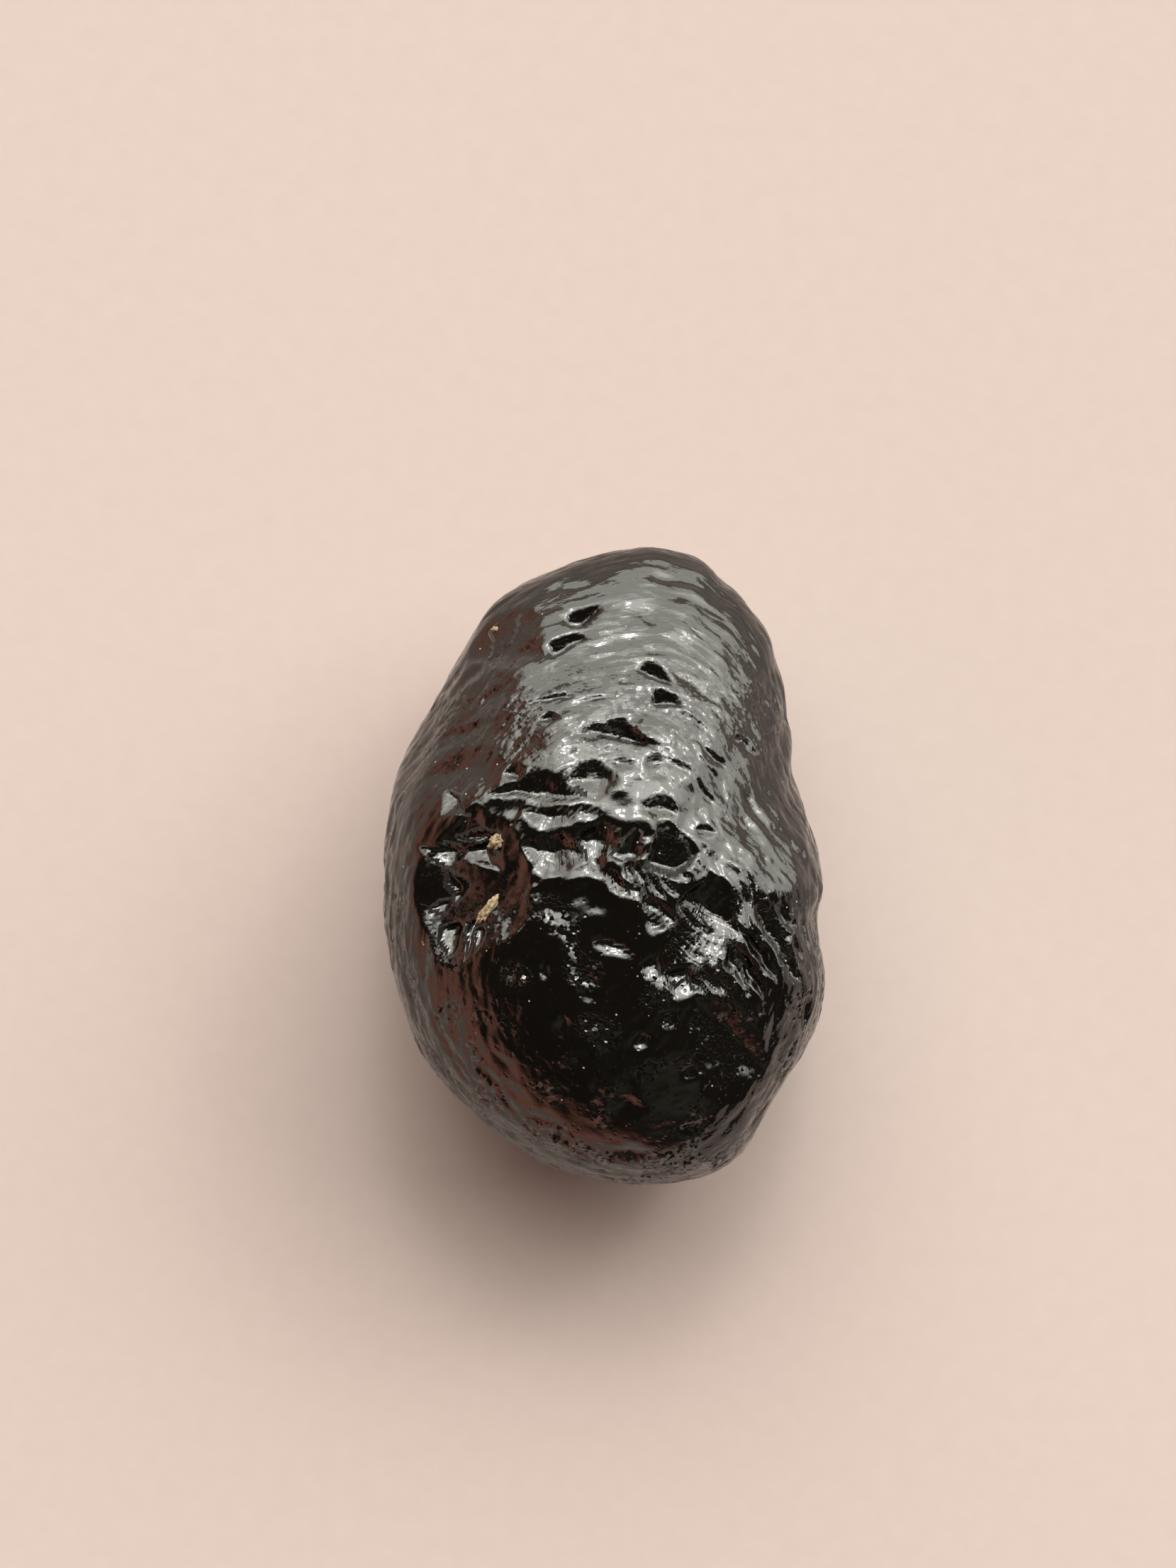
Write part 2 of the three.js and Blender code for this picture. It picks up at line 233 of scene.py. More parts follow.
def facets(places: np.ndarray, seed: float, edge: float) -> np.ndarray:
    """Flat facets of broken glass, tilted at random, with a step wherever two of them meet.

    Args:
        places: Rows of coordinates in which a facet is about 1 wide in every direction.
        seed: Chooses the pattern.
        edge: How wide the steps are, in the same measure.

    Returns:
        A height for each row, about -1 to 1.
    """
    count, size = places.shape
    cell = np.floor(places)
    nearest = np.full(count, 9.0)
    second = np.full(count, 9.0)
    height = np.zeros(count)
    runner_up = np.zeros(count)
    mix = np.array([1.0, 57.0, 113.0, 271.0])[:size]
    for step in np.ndindex(*(3,) * size):
        corner = cell + np.array(step) - 1
        key = corner @ mix
        point = np.column_stack([scramble(key, seed + 1.7 * axis) for axis in range(size)])
        offset = places - corner - FACET_MARGIN - FACET_PLAY * point
        distance = np.sqrt((offset * offset).sum(axis=1))
        tilt = np.column_stack([scramble(key, seed + 9.1 + axis) - 0.5 for axis in range(size)])
        level = scramble(key, seed + 20.3) - 0.5 + FACET_TILT * (offset * tilt).sum(axis=1)
        closer = distance < nearest
        between = ~closer & (distance < second)
        second = np.where(closer, nearest, np.where(between, distance, second))
        runner_up = np.where(closer, height, np.where(between, level, runner_up))
        nearest = np.where(closer, distance, nearest)
        height = np.where(closer, level, height)
    share = 0.5 + 0.5 * smoothstep(0.0, edge, second - nearest)
    return share * height + (1 - share) * runner_up


class Draw:
    """A small fixed source of random numbers, the same on every run."""

    FACTOR = 16807
    MODULUS = 2147483647

    def __init__(self, seed: int) -> None:
        """Starts the source from a seed."""
        self.state = seed

    def between(self, low: float, high: float) -> float:
        """Draws the next number between two limits."""
        self.state = (self.state * self.FACTOR) % self.MODULUS
        return low + (high - low) * self.state / self.MODULUS


# ---- The body ----

SEARCH_STEPS = 40  # enough to find what the eye sees at a place
SEARCH_PACE = 0.6  # the share of the remaining way that each step goes
SEARCH_RIM = 0.995  # how near the sphere's equator the search may go


@dataclass(frozen=True)
class Body:
    """The stone's form before any relief, with its middle plane at z = 0, in mm."""

    half_length: float = 17.0
    half_width: float = 11.9
    crown_height: float = 9.8
    crown_skew: float = 0.44
    fall_heading: float = 68.0  # the way the crown slopes down, degrees from +X
    plateau_end: float = 0.02  # where the crown's flat part ends, as a share of the half length
    slope_start: float = 0.34  # where its full slope starts
    plateau_slope: float = 0.15  # the flat part's slope, as a share of the full one
    head_fullness: float = 1.85
    foot_fullness: float = 2.7
    foot_limits: tuple[float, float] = (0.75, 0.0)  # where on the unit sphere the foot begins
    belly_depth: float = 10.6
    belly_skew: float = 0.1
    belly_fullness: float = 2.7
    rest_cut: float = 0.35
    # The outline's corners seen from above, counterclockwise from +X.
    outline: tuple[tuple[float, float], ...] = (
        (11.5, 0.2), (10.7, 2.9), (10.1, 5.0), (9.9, 7.6), (9.3, 10.4), (8.3, 13.0),
        (6.6, 15.2), (5.1, 16.55), (2.5, 17.05), (-0.6, 16.65), (-2.9, 16.0), (-5.9, 14.1),
        (-8.2, 10.9), (-9.9, 7.4), (-11.1, 4.4), (-11.75, 0.4), (-11.9, -2.4), (-11.3, -6.0),
        (-9.9, -9.4), (-7.3, -12.8), (-3.9, -15.5), (-1.0, -16.6), (2.4, -17.0), (5.3, -16.5),
        (7.4, -15.1), (9.2, -12.2), (10.9, -9.1), (11.8, -6.6), (11.45, -3.1), (11.75, -1.2),
    )

    def reach(self, angle: np.ndarray) -> np.ndarray:
        """The outline's radius at each angle: a smooth cubic from corner to corner.

        Args:
            angle: Angles from +X, in radians.

        Returns:
            The radii in mm.
        """
        corners = np.array(self.outline)
        turn = np.arctan2(corners[:, 1], corners[:, 0]) % TURN
        order = np.argsort(turn)
        turn = turn[order]
        radius = np.hypot(corners[:, 0], corners[:, 1])[order]
        count = len(turn)
        angle = angle % TURN
        here = (np.searchsorted(turn, angle, side="right") - 1) % count
        before = (here - 1) % count
        after = (here + 1) % count
        last = (here + 2) % count
        span = (turn[after] - turn[here]) % TURN
        slope_here = (radius[after] - radius[before]) / ((turn[here] - turn[before]) % TURN + span)
        slope_after = (radius[last] - radius[here]) / (span + (turn[last] - turn[after]) % TURN)
        s = ((angle - turn[here]) % TURN) / span
        return (
            (2 * s**3 - 3 * s**2 + 1) * radius[here]
            + (s**3 - 2 * s**2 + s) * span * slope_here
            + (3 * s**2 - 2 * s**3) * radius[after]
            + (s**3 - s**2) * span * slope_after
        )

    def fall(self, x: np.ndarray, y: np.ndarray) -> np.ndarray:
        """How far the crown has come down: little over its flat part, then steadily.

        Args:
            x: Places across the crown, as shares of the half width.
            y: Places along it, as shares of the half length.

        Returns:
            The fall at each place, as a share of the half length.
        """
        heading = math.radians(self.fall_heading)
        narrow = self.half_width / self.half_length
        ahead = x * narrow * math.cos(heading) + y * math.sin(heading)
        span = self.slope_start - self.plateau_end
        t = np.maximum((ahead - self.plateau_end) / span, 0)
        bent = np.where(t < 1, t**3 - t**4 / 2, t - 0.5)
        return self.plateau_slope * ahead + (1 - self.plateau_slope) * span * bent

    def points(self, unit: np.ndarray) -> np.ndarray:
        """The body's points for points of the unit sphere.

        Args:
            unit: Points of the unit sphere.

        Returns:
            The points in mm.
        """
        x, y, z = unit.T
        across = np.hypot(x, y)
        on_crown = z >= 0
        blunt = smoothstep(*self.foot_limits, y)
        crown_fullness = self.head_fullness + (self.foot_fullness - self.head_fullness) * blunt
        power = np.where(on_crown, crown_fullness, self.belly_fullness)
        stretch = (across**power + np.abs(z) ** power) ** (-1 / power)
        crown = self.crown_height * (1 - self.crown_skew * self.fall(x * stretch, y * stretch))
        belly = self.belly_depth * (1 - self.belly_skew * y * stretch)
        reach = self.reach(np.arctan2(y, x)) * stretch
        height = np.where(on_crown, crown, belly) * z * stretch
        return np.column_stack([reach * x, reach * y, height])

    def normals(self, unit: np.ndarray) -> np.ndarray:
        """The directions in which relief is raised or cut, for points of the unit sphere."""
        return unit_rows(unit / np.array([self.half_width, self.half_length, self.crown_height]))

    def unit_seen_at(self, x: float, y: float) -> np.ndarray:
        """The point of the unit sphere whose body point the eye sees at a place.

        Args:
            x: The place in the middle plane, mm.
            y: The same along the stone.

        Returns:
            One row: the unit point.
        """
        half_sizes = np.array([self.half_width, self.half_length])
        target = np.array([x, y])
        flat = 0.9 * target / half_sizes
        for _ in range(SEARCH_STEPS):
            flat = flat * min(1.0, SEARCH_RIM / max(np.hypot(*flat), 1e-9))
            unit = np.array([[flat[0], flat[1], math.sqrt(1 - flat @ flat)]])
            seen = seen_from_eye(self.points(unit))[0]
            flat = flat + SEARCH_PACE * (target - seen) / half_sizes
        return unit


def seen_from_eye(points: np.ndarray) -> np.ndarray:
    """Where the eye sees points, as places in the middle plane.

    Args:
        points: Points of the body, its middle plane at z = 0, mm.

    Returns:
        A row of x and y for each.
    """
    scale = EYE[2] / (EYE[2] - points[:, 2:])
    eye = np.array(EYE[:2])
    return eye + (points[:, :2] - eye) * scale


# ---- Marks in the relief ----

RAGGED = 0.45  # how much the width of a notch varies along its broken edge
FLOOR_RAGGED = 0.6  # the same on the floor's side, as a share of the wall's
CREASE_KINK = 0.12  # how far the crease strays, as a share of the wall's width
FAN_SPREAD = 0.35  # how fast the tears of an edge fan out, for each mm from the crease
COARSE_TEARS = (0.65, 0.75)  # the large tears' share of the raggedness, and their pitch in mm
FINE_TEARS = (0.35, 0.24)
WALL_POWER = 1.1  # 1 is a straight slope down to the crease
FLOOR_POWER = 1.2
END_POWER = 0.6  # how fast a notch gets shallow towards its ends


def fanned(along: np.ndarray, across: np.ndarray) -> np.ndarray:
    """Where the tears that fan out from a crease start along it, in mm."""
    return along / (1 + FAN_SPREAD * np.abs(across))


def notch_depth(
    along: np.ndarray, across: np.ndarray, length: float, wall: float, floor: float,
    depth: float, lean: float = 0.0, bow: float = 0.0, seed: float = 0.0, ragged: float = 1.0,
    blunt: float = 1.6,
) -> np.ndarray:
    """The depth of a notch: a steep ragged wall, a crease and a longer floor.

    Args:
        along: Distance along the crease from its middle, mm.
        across: Distance from the crease, positive on the wall's side.
        length: The crease's length.
        wall: The wall's width at its widest.
        floor: The floor's width at its widest.
        depth: The depth at the middle of the crease.
        lean: How far the widest place is shifted along the crease, as a share.
        bow: How the crease bends, for each mm along it.
        seed: Chooses how the edges are broken.
        ragged: How broken the edges are.
        blunt: How full the outline is: 1 comes to a point in the middle and at both ends.

    Returns:
        The depth at each place, 0 outside the notch.
    """
    reach = 2 * along / length
    shifted = reach - lean * (1 - reach * reach)
    width = np.where(np.abs(reach) < 1, np.clip(1 - np.abs(shifted) ** blunt, 0, None), 0)
    coarse = kinked(along / (0.16 * length + 0.1), seed)
    offset = across - bow * along * along - CREASE_KINK * wall * ragged * coarse
    on_wall = offset > 0
    fan = fanned(along, offset)
    tear = (
        COARSE_TEARS[0] * kinked(fan / COARSE_TEARS[1], seed + 3.3)
        + FINE_TEARS[0] * kinked(fan / FINE_TEARS[1], seed + 5.1)
    )
    torn = 1 + RAGGED * ragged * tear * np.where(on_wall, 1.0, FLOOR_RAGGED)
    share = np.abs(offset) / (np.where(on_wall, wall, floor) * width * torn + 1e-9)
    slope = np.clip(1 - share ** np.where(on_wall, WALL_POWER, FLOOR_POWER), 0, None)
    return depth * width**END_POWER * slope


@dataclass(frozen=True)
class Notch:
    """A listed notch, placed where the eye sees it. Its fields are those of notch_depth."""

    x: float
    y: float
    length: float
    wall: float
    floor: float
    heading: float
    depth: float
    lean: float = 0.0
    bow: float = 0.0
    ragged: float = 1.0
    blunt: float = 1.6

    @property
    def shift(self) -> float:
        """A number of its own, so that no two notches are broken alike."""
        return self.x * 7.1 + self.y * 3.3

    def local(self, seen: np.ndarray) -> tuple[np.ndarray, np.ndarray]:
        """Distances along the crease and across it, for places that the eye sees.

        Args:
            seen: Places that the eye sees.

        Returns:
            The distances along and across, in mm.
        """
        cosine = math.cos(math.radians(self.heading))
        sine = math.sin(math.radians(self.heading))
        along = (seen[:, 0] - self.x) * cosine + (seen[:, 1] - self.y) * sine
        across = (seen[:, 1] - self.y) * cosine - (seen[:, 0] - self.x) * sine
        return along, across

    def cut(self, seen: np.ndarray) -> np.ndarray:
        """The depth of the notch at places that the eye sees."""
        return notch_depth(
            *self.local(seen), self.length, self.wall, self.floor, self.depth, self.lean, self.bow,
            seed=self.shift, ragged=self.ragged, blunt=self.blunt,
        )

    def fracture(self, seen: np.ndarray) -> tuple[np.ndarray, np.ndarray]:
        """Where the ribs and the ripples of the broken face run.

        Args:
            seen: Places that the eye sees.

        Returns:
            A distance that is constant along each rib, and one constant along each ripple, in mm.
        """
        along, across = self.local(seen)
        ripple = np.hypot(along, across - self.wall)
        return fanned(along, across) + self.shift, ripple + self.shift


@dataclass(frozen=True)
class Scoop:
    """A round hollow cut as by a ball, whose axis may stand more upright than the surface."""

    x: float
    y: float
    half_length: float
    half_width: float
    heading: float
    depth: float
    upright: float = 0.0

    def cut(self, body: Body, points: np.ndarray, normals: np.ndarray) -> np.ndarray:
        """The depth of the scoop under each body point, along its normal.

        Args:
            body: The body.
            points: Points of the body.
            normals: Their normals.

        Returns:
            The depths in mm, 0 outside the scoop.
        """
        unit = body.unit_seen_at(self.x, self.y)
        centre = body.points(unit)[0]
        axis = body.normals(unit)[0] * (1 - self.upright) + np.array([0, 0, self.upright])
        axis = unit_rows(axis)
        turn = math.radians(self.heading)
        along = np.array([math.cos(turn), math.sin(turn), 0.0])
        along = unit_rows(along - axis * (along @ axis))
        size = (self.half_length + self.half_width) / 2
        local = np.column_stack(
            [along / self.half_length, np.cross(axis, along) / self.half_width, axis / size]
        )
        sink = self.depth / size
        ball = (1 + sink * sink) / (2 * sink)
        start = (points - centre) @ local - np.array([0, 0, ball - sink])
        way = normals @ local
        square = (way * way).sum(axis=1)
        slope = (start * way).sum(axis=1)
        outside = (start * start).sum(axis=1) - ball * ball
        root = np.sqrt(np.clip(slope * slope - square * outside, 0, None))
        return np.where(outside < 0, (slope + root) / square, 0.0)


@dataclass(frozen=True)
class Wall:
    """One flat side of a hollow: a place on its rim, the heading it faces and its slope."""

    x: float
    y: float
    heading: float
    slope: float
    below: float = 0.0  # how far under the skin it starts, mm
    ripple: float = 0.01  # how uneven it is, mm

    def plane(self, body: Body) -> tuple[np.ndarray, np.ndarray]:
        """A point of the wall and the way it faces.

        Args:
            body: The body.

        Returns:
            The point in mm and the unit vector.
        """
        unit = body.unit_seen_at(self.x, self.y)
        rim = body.points(unit)[0] - self.below * body.normals(unit)[0]
        slope, heading = math.radians(self.slope), math.radians(self.heading)
        up = np.array([
            math.sin(slope) * math.cos(heading), math.sin(slope) * math.sin(heading),
            math.cos(slope),
        ])
        return rim, up

    def unevenness(self, offset: np.ndarray, seed: float) -> np.ndarray:
        """Ripples that run down the wall, for offsets from its rim.

        Args:
            offset: Offsets of points from the wall's rim, mm.
            seed: Chooses the pattern.

        Returns:
            How far the wall is raised at each point, in mm.
        """
        heading = math.radians(self.heading)
        along = offset @ np.array([-math.sin(heading), math.cos(heading), 0.0])
        return self.ripple * (
            kinked(along / 0.9, seed + 1.3) + 0.5 * kinked(along / 0.35, seed + 4.9)
        )


@dataclass(frozen=True)
class Hollow:
    """A hollow that is broken out of the stone and bounded by flat sides."""

    walls: tuple[Wall, ...]

    DEEPEST = 9.0
    STEEPEST = 0.15  # the cosine past which a wall gets no steeper to the skin

    def cut(self, body: Body, points: np.ndarray, normals: np.ndarray) -> np.ndarray:
        """The depth of the hollow under each body point, along its normal.

        Args:
            body: The body.
            points: Points of the body.
            normals: Their normals.

        Returns:
            The depths in mm, 0 outside the hollow.
        """
        shallowest = np.full(len(points), self.DEEPEST)
        for number, wall in enumerate(self.walls):
            rim, up = wall.plane(body)
            raised = (points - rim) @ up + wall.unevenness(points - rim, number)
            shallowest = np.minimum(shallowest, raised / np.maximum(normals @ up, self.STEEPEST))
        return np.maximum(shallowest, 0)


POLE_CLEARANCE = 0.2  # the flow has no heading nearer its pole than this


@dataclass(frozen=True)
class Scallops:
    """Notches all over the skin, drawn at random along the flow of the glass.

    Length, wall and floor are the limits of their sizes in mm, turn the limits of their
    headings to the flow in degrees, and strength the limits of their depths, as shares.
    """

    count: int
    seed: int
    length: tuple[float, float]
    wall: tuple[float, float]
    floor: tuple[float, float]
    turn: tuple[float, float]
    steepness: float  # the greatest depth, as a share of the width
    strength: tuple[float, float] = (0.3, 1.0)
    bow: float = -0.03
    crown_share: float = 1.0  # how strong they are on top of the crown
    head_share: float = 1.0  # and on the slope to the thin end
    crown_heights: tuple[float, float] = (0.25, 0.8)  # where on the unit sphere the crown is
    head_places: tuple[float, float] = (0.15, 0.4)  # and where the thin end starts
    skin_thickness: float = 1.5  # how far from its plane a scallop still cuts, mm

    def cut(self, body: Body, pole: np.ndarray, points: np.ndarray) -> np.ndarray:
        """The depth of the deepest scallop at each body point.

        Args:
            body: The body.
            pole: The direction of the flow's pole.
            points: Points of the body.

        Returns:
            The depths in mm, 0 where there is no scallop.
        """
        draw = Draw(self.seed)
        total = np.zeros(len(points))
        for _ in range(self.count):
            height = draw.between(-1, 1)
            angle = draw.between(0, TURN)
            ring = math.sqrt(1 - height * height)
            unit = np.array([ring * math.cos(angle), ring * math.sin(angle), height])
            length = draw.between(*self.length)
            wall = draw.between(*self.wall)
            floor = draw.between(*self.floor)
            turn = math.radians(draw.between(*self.turn))
            strength = draw.between(*self.strength)
            flow = np.cross(pole, unit)
            if np.linalg.norm(flow) < POLE_CLEARANCE:
                continue
            on_crown = float(smoothstep(*self.crown_heights, np.array(height)))
            on_head = float(smoothstep(*self.head_places, unit[1]))
            share = 1 - (1 - self.crown_share) * on_crown
            share *= 1 - (1 - self.head_share) * on_head
            centre = body.points(unit[None])[0]
            normal = body.normals(unit[None])[0]
            offset = points - centre
            reach = 0.6 * length + 1
            near = np.nonzero((offset * offset).sum(axis=1) < reach * reach)[0]
            near = near[np.abs(offset[near] @ normal) < self.skin_thickness]
            along = unit_rows(flow - normal * (flow @ normal))
            across = np.cross(normal, along)
            if across @ pole > 0:
                along, across = -along, -across
            u, v = offset[near] @ along, offset[near] @ across
            new = notch_depth(
                u * math.cos(turn) + v * math.sin(turn), v * math.cos(turn) - u * math.sin(turn),
                length, wall, floor, strength * share * self.steepness * (wall + floor),
                bow=self.bow, seed=angle * 11.3,
            )
            total[near] = np.maximum(total[near], new)
        return total


@dataclass(frozen=True)
class FlowLines:
    """Fine ridges and grooves that run in rings round the flow's pole."""

    coarse_pitch: float = 1.15
    coarse_height: float = 0.022
    fine_pitch: float = 0.52
    fine_height: float = 0.016
    ring_radius: float = 13.5  # turns an angle from the pole into mm along the skin
    calm_rings: tuple[float, float] = (4.7, 10.8)  # there are none nearer the pole, mm

    def ring(self, unit: np.ndarray, pole: np.ndarray) -> np.ndarray:
        """How far each point is from the pole, in mm along the skin."""
        return self.ring_radius * np.arccos(np.clip(unit @ pole, -1, 1))

    def height(self, ring: np.ndarray, points: np.ndarray) -> np.ndarray:
        """The height of the flow lines over the skin.

        Args:
            ring: How far each point is from the pole, mm.
            points: Points of the body.

        Returns:
            The heights in mm, 0 or less.
        """
        x, y, z = points.T
        drift = (
            0.35 * np.sin(0.5 * x + 0.3 * y + 0.4 * z)
            + 0.2 * np.sin(1.3 * x - 0.9 * y + 0.7 * z + 1)
            + 0.08 * np.sin(3.1 * x + 2.7 * y + 1.9 * z)
        )
        patch = 0.5 + 0.5 * (
            np.sin(0.8 * x + 0.9 * y - 0.6 * z + 2) * np.sin(0.7 * y - 0.5 * x + 0.8 * z)
        )
        coarse = 1 - np.abs(np.sin(math.pi * (ring + drift) / self.coarse_pitch))
        fine = 1 - np.abs(np.sin(math.pi * (ring + 1.6 * drift) / self.fine_pitch + 1))
        lines = self.coarse_height * coarse**2 * (0.4 + 0.6 * patch)
        lines += self.fine_height * fine**1.5 * (1 - 0.5 * patch)
        return -lines * smoothstep(*self.calm_rings, ring)


class Zone(Enum):
    """What the glass has to know of each point of the skin: the name of a mesh attribute."""

    RING = "ring"  # the distance from the flow's pole, mm
    FAN = "fan"  # a distance that is constant along each rib of a broken face, mm
    RIPPLE = "ripple"  # and along each of its ripples
    ETCHED = "etched"  # the shares of etched, chipped, worn and flow-lined skin
    CHIPPED = "chipped"
    WORN = "worn"
    FLOWING = "flowing"


# ---- The listed marks, and the scattered ones ----

# Of each wall: x, y, the heading that it faces, its slope, the depth of its rim, its ripple
LEFT_HOLLOW = Hollow((
    Wall(-7.8, 2.55, 306, 47, 0.0, 0.03),
    Wall(-5.6, 3.0, 208, 44, 0.0, 0.04),
    Wall(-3.95, -1.2, 184, 30, 0.0, 0.03),
    Wall(-4.5, -4.2, 160, 28, 0.0, 0.03),
    Wall(-6.8, -5.1, 150, 32, 0.0, 0.02),
    Wall(-9.3, -4.6, 85, 12, 0.0, 0.02),
    Wall(-10.2, -1.5, 185, 9, 0.0, 0.03),
))
# Breaks of the crown, with a nearly level floor that mirrors the dark overhead, and steep sides
HEAD_BREAK = Hollow((
    Wall(-1.1, 14.0, 275, 9),
    Wall(-0.75, 13.25, 131, 85),
    Wall(-1.65, 12.85, 74, 85),
    Wall(-2.1, 13.5, 342, 84),
))
NECK_BREAK = Hollow((
    Wall(-2.3, 12.35, 307, 10),
    Wall(-1.8, 11.7, 122, 86),
    Wall(-1.25, 12.45, 243, 78),
    Wall(-3.05, 11.5, 35, 78),
))
CREST_BREAK = Hollow((
    Wall(2.25, 11.1, 344, 22),
    Wall(3.1, 10.8, 178, 24),
    Wall(2.6, 10.25, 71, 85),
    Wall(1.75, 10.75, 0, 84),
))
SIDE_BREAK = Hollow((
    Wall(3.3, 9.6, 304, 11),
    Wall(4.1, 9.1, 168, 25),
    Wall(3.5, 8.7, 82, 85),
    Wall(2.8, 9.3, 350, 84),
))
MIDDLE_BREAK = Hollow((
    Wall(0.6, 7.95, 290, 11),
    Wall(1.75, 7.4, 231, 82),
    Wall(1.3, 6.75, 79, 85),
    Wall(0.1, 7.6, 310, 82),
))
LEDGE_BREAK = Hollow((
    Wall(1.1, 2.55, 278, 12),
    Wall(-0.5, 1.9, 325, 74),
    Wall(2.35, 1.9, 205, 74),
    Wall(1.0, 1.3, 88, 66),
))
BOWL_BREAK = Hollow((
    Wall(3.6, 2.3, 288, 9),
    Wall(2.35, 0.8, 345, 74),
    Wall(4.9, 1.0, 200, 70),
    Wall(4.2, -0.35, 130, 66),
    Wall(3.2, -0.5, 75, 64),
))
# Two chips whose lower walls face the window
SMALL_CHIP = Hollow((
    Wall(2.5, -5.0, 290, 72),
    Wall(2.6, -6.25, 80, 22),
    Wall(2.0, -5.5, 20, 72),
    Wall(3.15, -5.7, 200, 72),
))
LARGE_CHIP = Hollow((
    Wall(4.1, -5.5, 285, 72),
    Wall(4.1, -7.3, 84, 21),
    Wall(3.3, -6.3, 30, 72),
    Wall(5.0, -6.3, 205, 72),
))
# The shallow hollow low on the right
RIGHT_HOLLOW = Hollow((
    Wall(9.4, -9.2, 195, 12, 0.0, 0.06),
    Wall(8.9, -12.0, 150, 8, 0.0, 0.06),
    Wall(6.8, -13.8, 70, 6, 0.0, 0.06),
    Wall(4.4, -9.4, 350, 33, 0.0, 0.06),
    Wall(6.5, -7.3, 280, 34, 0.0, 0.06),
))
# Two flat facets of the left shoulder
UPPER_FACET = Hollow((
    Wall(-4.9, 12.9, 140, 42, 0.3, 0.02),
    Wall(-2.9, 13.0, 185, 50, 0.0, 0.02),
    Wall(-5.5, 10.4, 115, 58, 0.0, 0.02),
))
LOWER_FACET = Hollow((
    Wall(-7.6, 5.6, 150, 37, 0.22, 0.02),
    Wall(-7.4, 3.4, 132, 48, 0.0, 0.02),
    Wall(-5.3, 5.5, 175, 50, 0.0, 0.02),
))
# The step in the left hollow, under its upper wall
STEP = Hollow((
    Wall(-7.4, 1.05, 275, 50, 1.18, 0.02),
    Wall(-7.4, 0.5, 118, 27, 1.05),
    Wall(-5.7, 0.5, 188, 56, 0.4, 0.02),
    Wall(-6.6, 0.0, 92, 52, 0.84, 0.02),
))

HOLLOWS = (
    LEFT_HOLLOW, STEP, RIGHT_HOLLOW, UPPER_FACET, LOWER_FACET, HEAD_BREAK, NECK_BREAK,
    CREST_BREAK, SIDE_BREAK, MIDDLE_BREAK, LEDGE_BREAK, BOWL_BREAK, SMALL_CHIP, LARGE_CHIP,
)

# Of each scoop: x, y, half length, half width, heading, depth, upright
SCOOPS = (
    Scoop(-2.25, -8.7, 0.4, 0.7, 0, 0.22, 0.3),
    Scoop(-3.2, -5.6, 0.4, 0.5, 0, 0.22, 0.2),
    Scoop(-0.7, -6.2, 0.6, 0.35, -25, 0.24, 0.2),
    Scoop(-0.9, -6.9, 0.5, 0.5, 0, 0.2, 0.2),
    Scoop(1.95, -9.5, 0.5, 0.45, 0, 0.25, 0.3),
    Scoop(3.5, -8.3, 0.5, 0.5, 0, 0.18, 0.2),
    Scoop(-0.5, -11.8, 0.45, 0.45, 0, 0.14, 0.2),
    Scoop(1.1, -13.1, 0.8, 0.8, 0, 0.18, 0.3),
    Scoop(4.6, -14.3, 0.45, 0.4, 0, 0.25, 0.6),
    Scoop(4.7, -11.1, 0.6, 0.5, 0, 0.22, 0.4),
)

# Of each notch: x, y, length, wall, floor, heading, depth, lean, bow, ragged
HOLLOW_MARKS = (
    Notch(-7.1, 1.75, 2.9, 0.4, 0.26, 1, 0.34, 0, -0.03, 0.1),
    Notch(-8.9, 1.0, 2.0, 0.3, 1.1, -1, 0.42, 0.05, -0.05, 0.1),
    Notch(-9.2, -2.05, 0.9, 0.25, 0.7, 20, 0.32),
    Notch(-8.6, -3.4, 1.5, 0.3, 1.7, -6, 0.6, ragged=0.7),
    Notch(-7.35, -3.25, 0.6, 0.2, 1.8, -8, 0.6, ragged=0.4),
    Notch(-6.85, -3.6, 0.5, 0.2, 1.2, -8, 0.3, ragged=0.4),
    Notch(-8.9, -1.1, 2.2, 0.15, 0.9, 97, 0.36, ragged=0.5),
)
HEAD_MARKS = (
    Notch(1.2, 10.0, 0.9, 0.22, 0.25, -8, 0.2),
    Notch(-0.4, 7.35, 2.8, 0.3, 0.6, 0, 0.26, 0, -0.05),
    Notch(-2.9, 7.8, 1.3, 0.38, 0.2, 12, 0.34, ragged=0.3, blunt=1.8),
    Notch(-2.7, 8.95, 2.7, 0.2, 0.15, 13, 0.2, ragged=0.4),
    Notch(-0.7, 9.12, 1.6, 0.18, 0.12, 10, 0.18, ragged=0.4),
    Notch(-7.5, 7.4, 3.0, 0.25, 1.2, 14, 0.22, 0, -0.04, 0.3),
    Notch(-6.0, 9.1, 2.2, 0.3, 0.8, 25, 0.2),
    Notch(-7.9, 3.45, 1.7, 0.2, 1.2, -48, 0.45, ragged=0.5),
    Notch(-5.6, 12.6, 2.8, 0.5, 0.7, 48, 0.22),
    Notch(-7.0, 10.6, 3.2, 0.35, 0.6, 44, 0.2),
    Notch(2.1, 13.4, 2.0, 1.1, 0.15, -35, 0.13, ragged=0.5, blunt=2.5),
    Notch(5.0, 9.6, 3.2, 0.3, 0.7, -38, 0.22),
    Notch(7.6, 6.4, 2.0, 0.3, 0.5, -45, 0.2),
    Notch(5.8, 6.0, 2.2, 0.3, 0.5, -40, 0.18),
)
